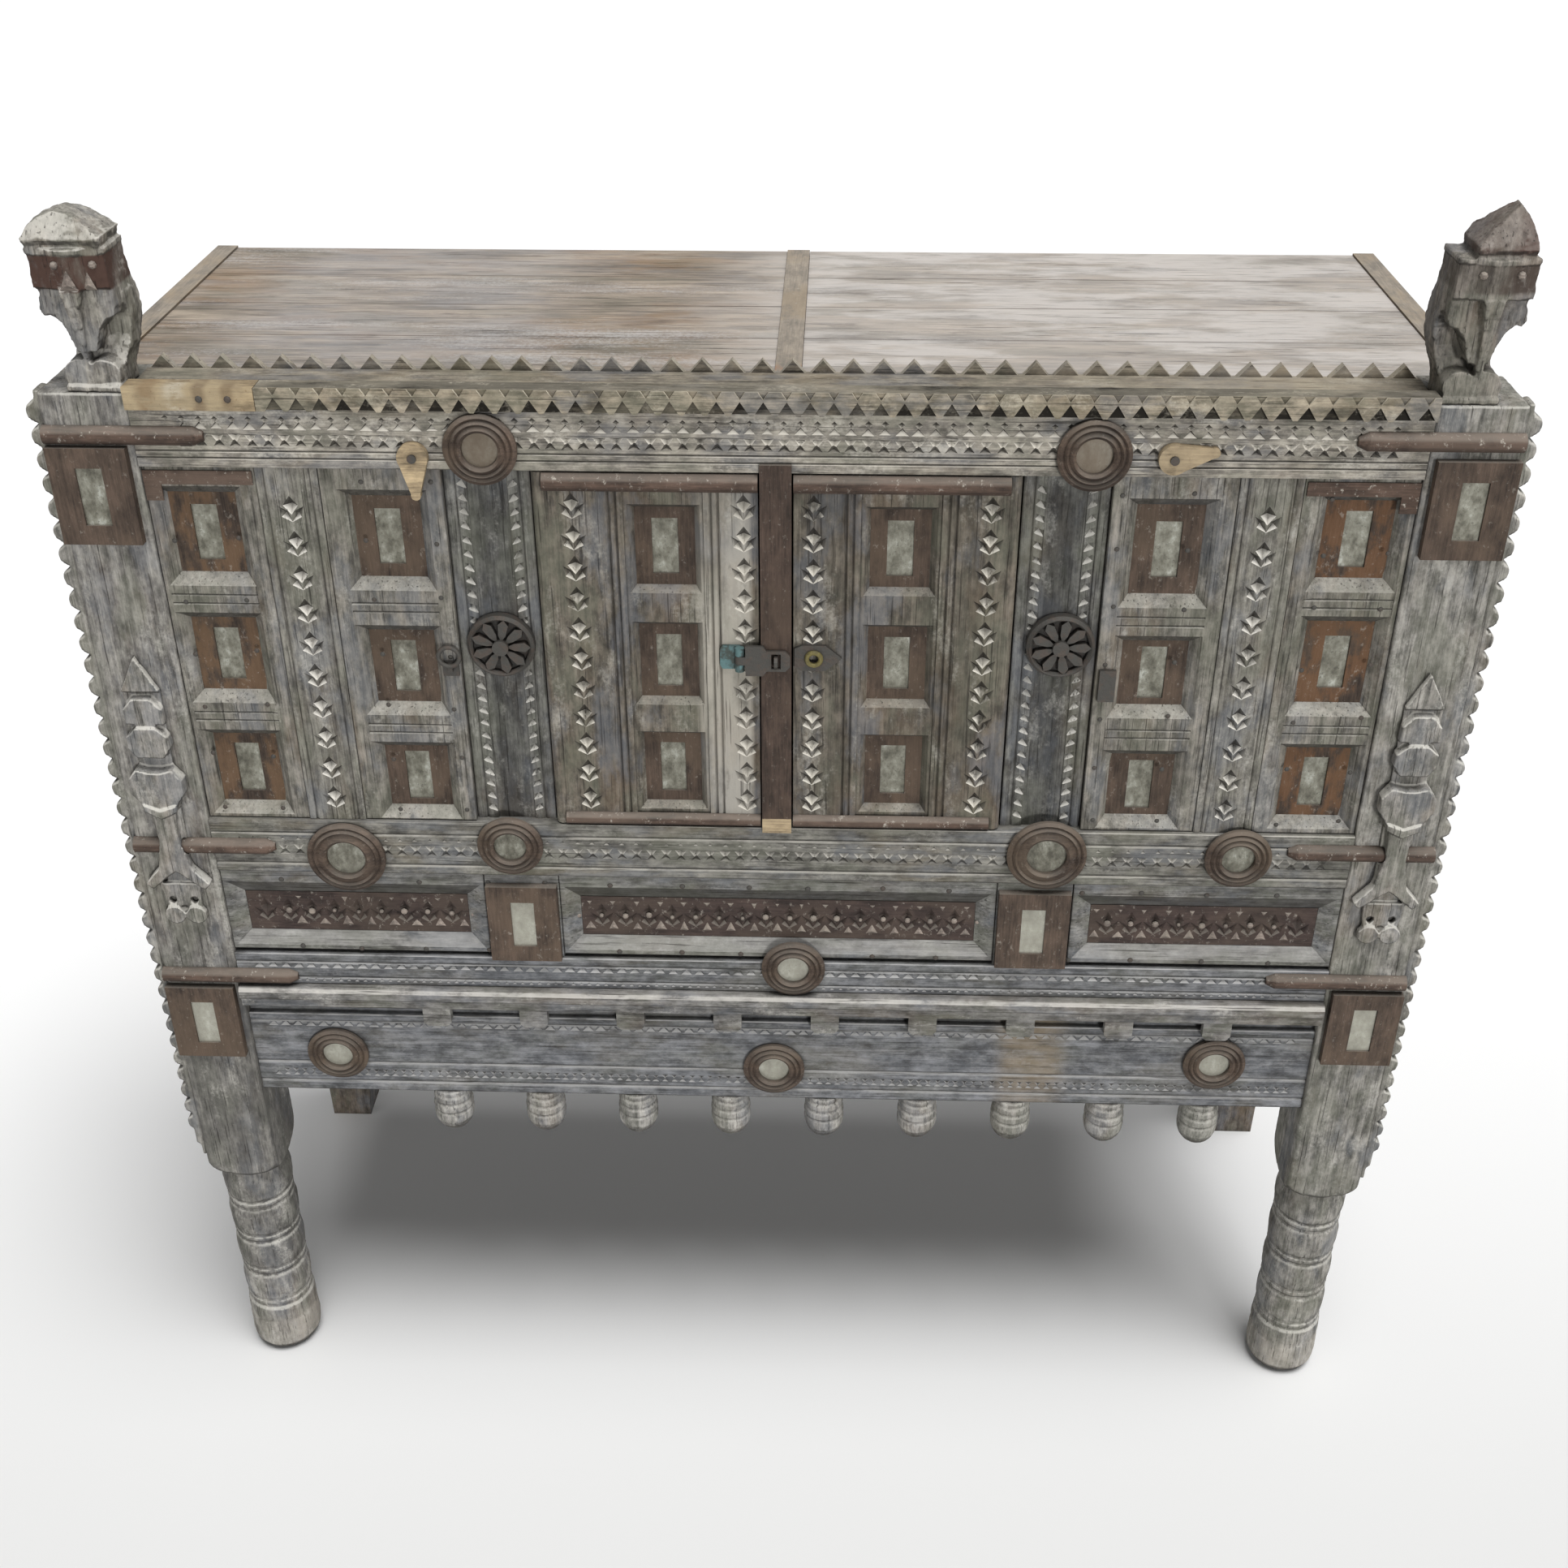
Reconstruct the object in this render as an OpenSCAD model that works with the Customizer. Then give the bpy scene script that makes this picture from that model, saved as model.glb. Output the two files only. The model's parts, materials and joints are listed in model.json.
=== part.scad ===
// Dowry chest on turned legs: a carved front with two pivoted leaves between fixed mirror panels.
// Millimetres, +Z up, the front faces -Y, origin under the middle of the whole chest on the floor.

/* [Overall] */
// Width over the outer faces of the posts
case_w = 1180; // [1140:10:1300]
// Depth over the faces of the front and back posts
case_d = 440; // [400:10:560]

/* [Heights] */
// Clear height under the apron
leg_clear = 380; // [350:1:430]
// Height of the apron board
apron_h = 114; // [100:1:140]
// Height of the ledge moulding
ledge_h = 24; // [20:1:32]
// Height of the lower rail
lower_rail_h = 36; // [32:1:50]
// Height of the frieze
frieze_h = 94; // [88:1:120]
// Height of the middle rail
mid_rail_h = 57; // [50:1:80]
// Height of the zone that holds the leaves and the side panels
zone_h = 340; // [320:1:380]
// Height of the top rail
top_rail_h = 50; // [46:1:70]
// Rise of the post above the top rail
post_rise = 12; // [8:1:24]

/* [Posts and legs] */
// Side of the square post
post_w = 72; // [66:1:84]
// Height of the turned part of the leg
turned_h = 266; // [240:1:290]
// Largest radius of the turned leg
leg_r = 35.5; // [30:0.5:36]
// Depth of a pair of grooves round the leg
leg_groove = 3.5; // [1.5:0.5:4]
// Side of the plain back leg at the floor
back_foot_w = 48; // [42:1:64]

/* [Scalloped edge strips] */
// Width of the strip before its scallops
strip_w = 5; // [3:0.5:8]
// Thickness of the strip, front to back
strip_t = 20; // [14:1:30]
// Setback of the strip behind the post face
strip_setback = 5; // [2:1:12]
// Radius of one scallop
scallop_r = 9; // [7:0.5:10]
// Pitch of the scallops
scallop_pitch = 21; // [20.5:0.5:26]

/* [Front frame] */
// Thickness of the front rails
rail_t = 40; // [34:1:48]
// Setback of jambs behind the rail face
jamb_setback = 10; // [9.5:0.5:14]
// Width of one jamb
jamb_w = 72; // [66:1:84]
// Width of the mullion between the leaves
mullion_w = 24; // [20:1:30]
// Thickness of the lath over the mullion
lath_t = 4; // [3:0.5:4]
// Overlap of the lath past the mullion on each side
lath_lap = 1; // [0.5:0.25:1.5]
// Height of the new block at the foot of the lath
lath_block_h = 15; // [10:1:24]

/* [Leaves] */
// Width of one leaf
leaf_w = 185; // [178:1:190]
// Thickness of one leaf
leaf_t = 24; // [22:1:28]
// Setback of the leaf face behind the rail face
leaf_setback = 2; // [1:0.5:4]
// Gap between the leaf and what is round it
leaf_gap = 1.5; // [1:0.25:2.5]
// Gap between the leaf and the mullion
free_gap = 2.5; // [2:0.25:4]
// Radius of the rounded pivot edge
pivot_edge_r = 6; // [5:0.25:7]
// Radius of the pivot pins
pivot_pin_r = 4; // [3:0.25:4.5]
// Length of the pivot pins
pivot_pin_l = 14; // [10:1:20]
// Radius of the half-round bars along the top edges of the leaves
top_bar_r = 8; // [6:0.5:9]
// Radius of the half-round bars along the bottom edges of the leaves
foot_bar_r = 6; // [5:0.5:8]

/* [Plaques and mirrors] */
// Height of the window in front of a plaque
window_h = 70; // [60:1:76]
// Width of the window in a side panel
panel_window_w = 56; // [50:1:60]
// Width of the window in a leaf
leaf_window_w = 50; // [42:1:52]
// Width of the bevel round a window
bevel = 9; // [6:0.5:11]
// Depth of the bevel
bevel_depth = 10; // [7:0.5:12]
// Width of the bevel round a window of a leaf
leaf_bevel = 5; // [3:0.5:6]
// Thickness of a plaque
plaque_t = 6; // [5:0.5:8]
// Hidden margin of a plaque behind its window
plaque_lap = 4; // [3:0.5:5]
// Width of the mirror in a plaque
mirror_w = 22; // [18:1:26]
// Height of the mirror in a plaque
mirror_h = 50; // [42:1:54]
// Thickness of the mirror glass
mirror_t = 2; // [1.5:0.25:2.5]
// Distance of the lowest windows above the foot of their zone
window_foot = 49; // [47:1:54]
// Pitch of the windows
window_pitch = 114; // [100:1:115]
// Pitch of the windows in a leaf, about the same middle row
leaf_pitch = 107; // [100:1:110]

/* [Carving] */
// Width of a star chip
chip_w = 21; // [16:1:24]
// Height of a star chip
chip_h = 26; // [18:1:30]
// Depth of a star chip
chip_depth = 6; // [3:0.5:6.5]
// Chips in one column
chip_count = 10; // [6:1:12]
// Number of chips in one column of a leaf
leaf_chip_count = 11; // [6:1:12]
// Teeth along the cornice
tooth_count = 42; // [24:2:60]
// Height of the cornice teeth
tooth_h = 12; // [8:1:16]
// Hanging teeth along the carved band under them
band_count = 56; // [40:2:72]

/* [Side panels and frieze] */
// Setback of the side panels behind the rail face
panel_setback = 4; // [3:0.5:6]
// Thickness of the side panels
panel_t = 24; // [22:1:30]
// Width of the carved strip down a side panel
chip_strip_w = 52; // [44:1:54]
// Height of the frieze frames
frieze_frame_h = 82; // [76:1:86]
// Thickness of the frieze frames
frieze_frame_t = 12; // [9:0.5:12]
// Height of the pierced frieze panels
frieze_panel_h = 44; // [36:1:50]
// Thickness of the board behind the frieze
frieze_board_t = 18; // [14:1:24]

/* [Top and shell] */
// Thickness of the top boards
top_t = 20; // [16:1:26]
// Planks across the depth of each half of the top
top_planks = 4; // [3:1:6]
// Height of the top surface below the post tops
top_drop = 4; // [2:1:8]
// Width of the battens along the ends of the top
batten_w = 20; // [14:1:30]
// Width of the strip across the middle of the top
centre_strip_w = 22; // [16:1:32]
// Setback of the chest sides behind the outer post faces
side_setback = 14; // [10:1:20]
// Thickness of the side and back rails
shell_rail_t = 28; // [24:1:32]
// Height of the side and back rails
shell_rail_h = 56; // [44:1:70]
// Thickness of the side and back boards
shell_board_t = 16; // [12:1:20]
// Thickness of the floor boards
floor_t = 16; // [12:1:22]

/* [Finials] */
// Height of a finial up to its cap
finial_neck_h = 83; // [72:1:92]
// Distance of a finial's middle inside the outer face of its post
finial_in = 46; // [42:1:50]
// Height of the dark block of a finial
finial_block_h = 27; // [22:1:34]

/* [Round ornaments] */
// Radius of a small roundel
roundel_r = 30; // [26:1:31]
// Radius of a large roundel
big_roundel_r = 36; // [32:1:38]
// Thickness of a roundel
roundel_t = 9; // [7:0.5:11]
// Radius of a flower boss
boss_r = 29; // [26:0.5:29]
// Thickness of a flower boss
boss_t = 12; // [10:0.5:12]
// Petals of a flower boss
boss_petals = 9; // [7:1:12]
// Radius of the corner bars
corner_bar_r = 8; // [6:0.5:9]
// Length of the corner bars
corner_bar_l = 130; // [110:1:140]
// Width of the corner plaques
corner_plaque_w = 66; // [60:1:70]
// Height of the corner plaques
corner_plaque_h = 84; // [76:1:86]
// Thickness of the corner plaques
corner_plaque_t = 8; // [6:0.5:9]
// Radius of a pendant
pendant_r = 20; // [16:0.5:22]
// Length of a pendant
pendant_l = 56; // [46:1:64]
// Pitch of the pendants
pendant_pitch = 94; // [80:0.5:96]

// Greatest thickness of the carved ornaments on the posts
applique_t = 16; // [12:0.5:18]
// Width of the carved ornaments at their feet
applique_w = 60; // [50:1:66]
// Length of the carved ornaments
applique_l = 286; // [260:1:296]
// Width of the straps at the corners of the side panels
strap_w = 12; // [8:1:14]

/* [Latch] */
// Height of the latch above the foot of the leaf zone
latch_up = 173; // [150:1:180]
// Half height of the hasp
hasp_hz = 14; // [11:0.5:16]
// Half height of the neck of the hasp
hasp_neck_hz = 9.5; // [8.5:0.5:10.5]
// Thickness of the hasp
hasp_t = 3; // [2:0.5:3]
// Radius of the hasp knuckles
knuckle_r = 4; // [3.5:0.25:4.5]
// Radius of the hasp pin
hasp_pin_r = 1.8; // [1.4:0.1:2]
// Reach of the staple in front of the lath
staple_reach = 10; // [9:0.5:12]

/* [Turn buttons] */
// Radius of the head of a turn button
button_r = 12.5; // [10:0.5:13]
// Length from the nail to the tip
button_l = 36; // [28:1:38]
// Thickness of a turn button
button_t = 7; // [5:0.5:8]
// Radius of the nail that a button turns on
button_nail_r = 2; // [1.5:0.1:2.5]
// Lean of the right button above the level
button_right_lean = 11; // [0:1:30]

/* [Hidden] */
$fn = 48;

grey_wood = "#8f8c84";
pale_wood = "#a5a29a";
dark_wood = "#6f675c";
rust_wood = "#6b4a34";
new_wood = "#cdb88c";
glass_tint = "#aab3a8";
dark_iron = "#3c3833";
verdigris = "#5f8f8c";
old_brass = "#8a7a3c";

over = 1;
fit = 0.5;
rest_gap = 0.3;
run_gap = 0.08;

z_apron = leg_clear;
z_ledge = z_apron + apron_h;
z_lower = z_ledge + ledge_h;
z_frieze = z_lower + lower_rail_h;
z_mid = z_frieze + frieze_h;
z_zone = z_mid + mid_rail_h;
z_top_rail = z_zone + zone_h;
z_cornice = z_top_rail + top_rail_h;
post_h = z_cornice + post_rise;
z_top = post_h - top_drop;
z_shell_top = z_top - top_t;
z_floor = z_ledge + shell_rail_h - floor_t;

x_post = case_w / 2 - post_w;
x_leaf = mullion_w / 2 + free_gap;
x_leaf_end = x_leaf + leaf_w;
x_jamb = x_leaf_end + leaf_gap;
x_jamb_end = x_jamb + jamb_w;
x_jamb_mid = x_jamb + jamb_w / 2;
x_pivot = x_leaf_end - pivot_edge_r;
y_pivot = leaf_setback + pivot_edge_r - 1;

staple_front = lath_t + staple_reach;
front_y = -(case_d - max(applique_t, staple_front)) / 2;

side_face = case_w / 2 - side_setback;
top_half = side_face - 2;
centre_strip_x = 8;

cornice_lower_t = 20;
cornice_lower_h = 19;
cornice_out = 6;
shelf_y = cornice_lower_t - cornice_out;
tooth_t = 8;
tooth_y = post_w - 6 - tooth_t;
patch_l = 105;

// Both halves of a symmetric pair
module pair() {
    children();
    mirror([1, 0, 0]) children();
}

// Everything is drawn with its y measured back from the post faces
module place() {
    translate([0, front_y, 0]) children();
}

// A board given by its low corner and its high corner
module slab(low, high) {
    translate(low) cube(high - low);
}

// An outline in x and z, run from y0 back to y1
module front_plate(y0, y1) {
    translate([0, y1, 0]) rotate([90, 0, 0]) linear_extrude(y1 - y0) children();
}

// An outline in y and z, run across x0 to x1
module side_plate(x0, x1) {
    translate([x0, 0, 0]) rotate([90, 0, 90]) linear_extrude(x1 - x0) children();
}

// A rectangular window whose four sides slope in from a wider mouth at y = 0
module bevelled_window(w, h, flare, depth) {
    k = over / depth * flare;
    intersection() {
        translate([0, 0, -h]) linear_extrude(2 * h)
            polygon([[-w / 2 - flare - k, -over], [w / 2 + flare + k, -over],
                     [w / 2, depth], [-w / 2, depth]]);
        side_plate(-w, w)
            polygon([[-over, -h / 2 - flare - k], [-over, h / 2 + flare + k],
                     [depth, h / 2], [depth, -h / 2]]);
    }
}

// A long V groove along z, cut into a face at y = 0
module v_groove(width, depth, length) {
    k = (depth + over) / depth;
    translate([0, 0, -length / 2]) linear_extrude(length)
        polygon([[-width / 2 * k, -over], [width / 2 * k, -over], [0, depth]]);
}

// A four-sided pit with its point inwards, as a knife leaves it
module chip_pit(w, h, depth) {
    lean = atan2(w, h);
    across = w * h / sqrt(w * w + h * h);
    intersection() {
        rotate([0, lean, 0]) v_groove(across, depth, w + h);
        rotate([0, -lean, 0]) v_groove(across, depth, w + h);
    }
}

// A star: a pit on top, and two arms that rise from under it to both sides
module star_chip(w, h, depth) {
    translate([0, 0, h * 0.15]) chip_pit(w * 0.6, h * 0.64, depth);
    for (s = [-1, 1])
        translate([s * w * 0.25, 0, -h * 0.15]) rotate([0, s * 38, 0])
            chip_pit(w * 0.38, h * 0.7, depth * 0.72);
}

// A column of star chips that fills a height
module chip_column(height, count) {
    pitch = height / count;
    for (i = [0 : count - 1])
        translate([0, 0, pitch * (i + 0.5)]) star_chip(chip_w, chip_h, chip_depth);
}

// Centres of the three windows of a column, above the foot of the zone
function window_z(i) = z_zone + window_foot + i * window_pitch;

function leaf_window_z(i) = window_z(1) + (i - 1) * leaf_pitch;

// Square post above a turned leg
module front_post() {
    c = post_w / 2;
    shoulder = 30;
    corner = c * sqrt(2) + over;
    intersection() {
        slab([0, 0, turned_h], [post_w, post_w, post_h]);
        translate([c, c, 0]) rotate_extrude()
            polygon(concat([[0, turned_h]],
                [for (a = [0 : 15 : 90]) [leg_r - 2 + (corner - leg_r + 2) * sin(a),
                                          turned_h + shoulder * (1 - cos(a))]],
                [[corner, post_h + over], [0, post_h + over]]));
    }
    translate([c, c, 0]) turned_leg();
}

// Swelling bands between pairs of grooves, and a foot rounded under its own groove
module turned_leg() {
    bands = 4;
    foot_h = 74;
    band = (turned_h - foot_h) / bands;
    r = leg_r;
    g = leg_groove;
    rotate_extrude()
        polygon(concat(
            [[0, 0], [r - 12, 0], [r - 5, 3], [r, 11], [r + 1, 24], [r + 0.5, 44], [r - 1, 47],
             [r + 0.5, 50], [r, foot_h - 8]],
            [for (i = [0 : bands - 1], j = [0 : 7])
                let (z = foot_h + i * band)
                j == 0 ? [r - g, z - 4] :
                j == 1 ? [r - 1, z - 1] :
                j == 2 ? [r - 1, z + 2] :
                j == 3 ? [r - g, z + 4.5] :
                j == 4 ? [r - 1.2, z + 8] :
                j == 5 ? [r - 0.2, z + band * 0.36] :
                j == 6 ? [r, z + band * 0.62] :
                         [r - 1.5, z + band - 8]],
            [[r - 2, turned_h], [0, turned_h]]));
}

module post_front_left() {
    color(grey_wood) place() translate([-case_w / 2, 0, 0]) front_post();
}

module post_front_right() {
    color(grey_wood) place() translate([case_w / 2 - post_w, 0, 0]) front_post();
}

// Plain square back post, its leg tapered on the two inner sides
module back_post() {
    intersection() {
        slab([0, case_d - post_w, 0], [post_w, case_d, z_shell_top]);
        front_plate(case_d - post_w - over, case_d + over)
            polygon([[0, 0], [back_foot_w, 0], [post_w, z_apron], [post_w, z_shell_top], [0, z_shell_top]]);
        side_plate(-over, post_w + over)
            polygon([[case_d, 0], [case_d - back_foot_w, 0], [case_d - post_w, z_apron],
                     [case_d - post_w, z_shell_top], [case_d, z_shell_top]]);
    }
}

module post_back_right() {
    color(grey_wood) place() translate([case_w / 2, 0, 0]) mirror([1, 0, 0]) back_post();
}

module post_back_left() {
    color(grey_wood) place() translate([-case_w / 2, 0, 0]) back_post();
}

// Carved head on a post, its outer side towards +X: scroll feet, a neck bowed back along the
// inner side, cheeks with a blade between them, a dark block and a cap
module finial(cap_outline) {
    half = 30;
    foot_r = 13;
    inner = post_w - finial_in - 1;
    block_z = finial_neck_h;
    rim_z = block_z + finial_block_h;
    rim_h = 4;
    for (x = [foot_r - inner, foot_r * 2.5 - inner])
        translate([x, 3, foot_r]) rotate([-90, 0, 0]) cylinder(r = foot_r, h = 36);
    slab([-inner, 1, 0], [20, 41, 5]);
    intersection() {
        side_plate(-half - 4, 20)
            polygon([[38, 0], [41, 12], [48, 26], [54, 42], [54, 58], [45, block_z + 16],
                     [16, block_z + 16], [21, 68], [26, 54], [26, 40], [20, 26], [14, 12], [12, 0]]);
        front_plate(0, post_w)
            polygon([[-inner, 0], [16, 0], [15, 28], [12, 46], [12, block_z + 16],
                     [-half, block_z + 16], [-half - 3, 56], [-half, 34], [-inner, 16]]);
    }
    front_plate(5, 36)
        polygon([[-half, block_z], [-half, 68], [-28, 60], [-21, 58], [-14, 49], [-9, 31],
                 [7, 31], [10, 44], [15, 55], [22, 61], [half - 3, 60], [half, 65],
                 [half - 1, 74], [half - 3, 78], [half - 1, block_z]]);
    intersection() {
        side_plate(-12, 12) polygon([[-6, block_z], [12, block_z], [12, 20], [3, 20]]);
        front_plate(-10, 14)
            polygon([[-8, block_z], [8, block_z], [6, 66], [2, 20], [-1, 20], [-5, 66]]);
    }
    translate([0, 0, block_z]) linear_extrude(finial_block_h)
        polygon([[-half, 45], [-half, 2], [0, -5], [half, 2], [half, 45]]);
    translate([0, 0, rim_z]) linear_extrude(rim_h)
        polygon([[-half - 1, 44], [-half - 1, 1], [0, -6], [half + 1, 1], [half + 1, 44]]);
    translate([0, 0, rim_z + rim_h]) intersection() {
        front_plate(-10, 50) polygon(cap_outline);
        side_plate(-45, 45) polygon([[0, 0], [-3, 7], [1, 16], [10, 29], [20, 42],
                                     [31, 33], [40, 18], [42, 8], [40, 0]]);
    }
}

dome_cap = [[-28, 0], [-31, 9], [-16, 19], [-6, 25], [5, 27], [17, 23], [26, 16], [31, 8], [28, 0]];
pointed_cap = [[-18, 0], [-19, 9], [-11, 19], [-1, 27], [9, 35], [12, 37], [18, 29], [24, 17],
               [26, 6], [25, 0]];

module finial_left() {
    color(pale_wood) place()
        translate([-case_w / 2 + finial_in, 0, post_h]) mirror([1, 0, 0]) finial(dome_cap);
}

module finial_right() {
    color(pale_wood) place() translate([case_w / 2 - finial_in, 0, post_h]) finial(pointed_cap);
}

// Lath with a scalloped outer edge and a stepped foot on the outside of each front post
module edge_strips() {
    foot = z_apron - 58;
    count = floor((post_h - foot) / scallop_pitch);
    color(pale_wood) place() pair() translate([case_w / 2, 0, 0])
        front_plate(strip_setback, strip_setback + strip_t) {
            translate([0, foot]) square([strip_w, post_h - foot]);
            for (i = [0 : count - 1])
                intersection() {
                    translate([strip_w, foot + scallop_pitch * (i + 0.5)]) circle(r = scallop_r);
                    translate([0, foot]) square([strip_w + scallop_r, post_h - foot]);
                }
            translate([0, foot - 17]) square([strip_w + 4, 17 + over]);
            translate([0, foot - 33]) square([strip_w, 17]);
        }
}

// Top rail with the pivot sockets of the leaves and the nail holes of the buttons
module top_rail() {
    color(grey_wood) place() difference() {
        slab([-x_post, 0, z_top_rail], [x_post, rail_t, z_cornice]);
        pivot_sockets(z_top_rail - over, pivot_pin_l + 2 + over);
        for (p = button_places) translate([p[0], -over, p[1]])
            rotate([-90, 0, 0]) cylinder(r = button_nail_r, h = nail_in + over);
        for (z = [z_top_rail + 8, z_top_rail + 14])
            side_plate(-x_post - over, x_post + over)
                polygon([[-over, z - 1.6], [1.4, z], [-over, z + 1.6]]);
    }
}

module pivot_sockets(z, depth) {
    pair() translate([x_pivot, y_pivot, z]) cylinder(r = pivot_pin_r + run_gap, h = depth);
}

module mid_rail() {
    color(grey_wood) place() difference() {
        slab([-x_post, 0, z_mid], [x_post, rail_t, z_zone]);
        pivot_sockets(z_zone - pivot_pin_l - 2, pivot_pin_l + 2 + over);
        for (z = [z_mid + 10, z_zone - 14])
            side_plate(-x_post - over, x_post + over)
                polygon([[-over, z - 1.6], [1.4, z], [-over, z + 1.6]]);
    }
}

module lower_rail() {
    color(grey_wood) place() difference() {
        slab([-x_post, 0, z_lower], [x_post, rail_t, z_frieze]);
        for (z = [z_lower + 8, z_frieze - 10])
            side_plate(-x_post - over, x_post + over)
                polygon([[-over, z - 1.6], [1.4, z], [-over, z + 1.6]]);
    }
}

// Pendants and the tabs above them share these places; the first of ten is lost
function pendant_x(i) = (i - 3.5) * pendant_pitch - 1.5;
pendant_count = 9;

// Projecting ledge with rounded tabs over the apron
module ledge() {
    tab_w = 27;
    tab_h = 23;
    color(pale_wood) place() {
        side_plate(-x_post, x_post)
            polygon([[rail_t, z_ledge], [-6, z_ledge], [-6, z_ledge + 9], [-10, z_ledge + 12],
                     [-10, z_ledge + 20], [-7, z_ledge + ledge_h], [rail_t, z_ledge + ledge_h]]);
        for (i = [0 : pendant_count - 1]) translate([pendant_x(i), 0, z_ledge])
            front_plate(-3, apron_setback)
                polygon([[-tab_w / 2, over], [-tab_w / 2, -tab_h + 5], [-tab_w / 2 + 4, -tab_h],
                         [tab_w / 2 - 4, -tab_h], [tab_w / 2, -tab_h + 5], [tab_w / 2, over]]);
    }
}

apron_setback = 6;
apron_t = 30;
tenon_r = 6;
tenon_l = 20;
apron_mid_y = apron_setback + apron_t / 2;

// Apron under the ledge, with a shadow groove and the sockets of the pendants
module apron() {
    color(grey_wood) place() difference() {
        slab([-x_post, apron_setback, z_apron], [x_post, apron_setback + apron_t, z_ledge]);
        slab([-x_post - over, apron_setback - over, z_ledge - 17],
             [x_post + over, apron_setback + 6, z_ledge + over]);
        for (i = [0 : pendant_count - 1])
            translate([pendant_x(i), apron_mid_y, z_apron - over])
                cylinder(r = tenon_r + fit / 5, h = tenon_l + 2 + over);
        for (z = [z_apron + 12, z_apron + 36, z_ledge - 27])
            translate([0, apron_setback, 0]) side_plate(-x_post - over, x_post + over)
                polygon([[-over, z - 1.6], [1.4, z], [-over, z + 1.6]]);
    }
}

module pendants() {
    r = pendant_r;
    l = pendant_l;
    color(pale_wood) place() for (i = [0 : pendant_count - 1])
        translate([pendant_x(i), apron_mid_y, z_apron]) rotate_extrude()
            polygon(concat(
                [[0, tenon_l], [tenon_r, tenon_l], [tenon_r, 0], [r * 0.86, 0], [r * 0.92, -l * 0.07],
                 [r * 0.84, -l * 0.12], [r * 0.94, -l * 0.16], [r * 0.96, -l * 0.25],
                 [r * 0.87, -l * 0.3], [r * 0.98, -l * 0.34], [r, -l * 0.44], [r * 0.91, -l * 0.48],
                 [r, -l * 0.52]],
                [for (a = [0 : 15 : 75]) [r * cos(a), -l * 0.58 - l * 0.42 * sin(a)]],
                [[0, -l]]));
}

// Carved band in front of the cornice: hanging teeth, and a small notch over each gap
module cornice_band(x0, x1) {
    pitch = 2 * x_post / band_count;
    n = floor((x1 - x0) / pitch);
    z0 = z_cornice;
    h = cornice_lower_h;
    difference() {
        slab([x0, -cornice_out, z0], [x1, shelf_y, z0 + h]);
        for (i = [0 : n - 1]) translate([x1 - pitch * (i + 0.5), -cornice_out, z0]) {
            front_plate(-over, cornice_out - 2)
                polygon([[-pitch * 0.44, -over], [pitch * 0.44, -over], [0, h * 0.6]]);
            front_plate(-over, 2.2)
                polygon([[-pitch * 0.26, h + over], [pitch * 0.26, h + over], [0, h * 0.68]]);
        }
    }
}

module cornice_lower() {
    color(grey_wood) place() cornice_band(-x_post + patch_l + fit, x_post);
}

// Length of new wood let into the left end of the band
module cornice_patch() {
    color(new_wood) place()
        slab([-x_post, -cornice_out, z_cornice], [-x_post + patch_l, shelf_y, z_cornice + cornice_lower_h]);
}

// Plain sloping board between the band and the teeth
module cornice_shelf() {
    color(grey_wood) place() side_plate(-x_post, x_post)
        polygon([[shelf_y, z_cornice], [tooth_y, z_cornice], [tooth_y, post_h + 2], [shelf_y + 3, post_h],
                 [shelf_y, post_h - 3]]);
}

// Row of upright teeth in front of the top boards
module cornice_sawtooth() {
    pitch = 2 * x_post / tooth_count;
    base = post_h;
    color(grey_wood) place() front_plate(tooth_y, tooth_y + tooth_t)
        polygon(concat([[-x_post, z_cornice], [-x_post, base]],
            [for (i = [0 : tooth_count - 1], s = [0 : 2])
                let (x = -x_post + i * pitch)
                s == 0 ? [x + 1.5, base] :
                s == 1 ? [x + pitch / 2, base + tooth_h] :
                         [x + pitch - 1.5, base]],
            [[x_post, base], [x_post, z_cornice]]));
}

// Planks of the top, in a left and a right field
module top_boards() {
    y0 = post_w;
    plank = (case_d - y0) / top_planks;
    left = [-top_half + batten_w, centre_strip_x - centre_strip_w / 2];
    right = [centre_strip_x + centre_strip_w / 2, top_half - batten_w];
    color(dark_wood) place() for (field = [left, right], i = [0 : top_planks - 1])
        slab([field[0] + rest_gap, y0 + i * plank + (i > 0 ? fit : 0), z_shell_top],
             [field[1] - rest_gap, y0 + (i + 1) * plank, z_top]);
}

module top_centre_strip() {
    color(rust_wood) place() slab([centre_strip_x - centre_strip_w / 2, post_w, z_shell_top],
                                  [centre_strip_x + centre_strip_w / 2, case_d, z_top + 1.5]);
}

module top_end_battens() {
    color(rust_wood) place() pair()
        slab([top_half - batten_w, post_w, z_shell_top], [top_half, case_d, z_top + 2]);
}

// Rails of the two sides and the back, at the top and at the foot of the body
module shell_rails() {
    back = case_d - side_setback;
    color(dark_wood) place() for (z = [z_ledge, z_shell_top - shell_rail_h]) {
        pair() slab([side_face - shell_rail_t, post_w, z], [side_face, case_d - post_w, z + shell_rail_h]);
        slab([-x_post, back - shell_rail_t, z], [x_post, back, z + shell_rail_h]);
    }
}

// Upright planks between the rails of each side
module side_boards() {
    n = 3;
    run = case_d - 2 * post_w;
    plank = run / n;
    color(grey_wood) place() pair() for (i = [0 : n - 1])
        slab([side_face - 6 - shell_board_t, post_w + i * plank + (i > 0 ? fit : 0), z_ledge + shell_rail_h],
             [side_face - 6, post_w + (i + 1) * plank, z_shell_top - shell_rail_h]);
}

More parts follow.
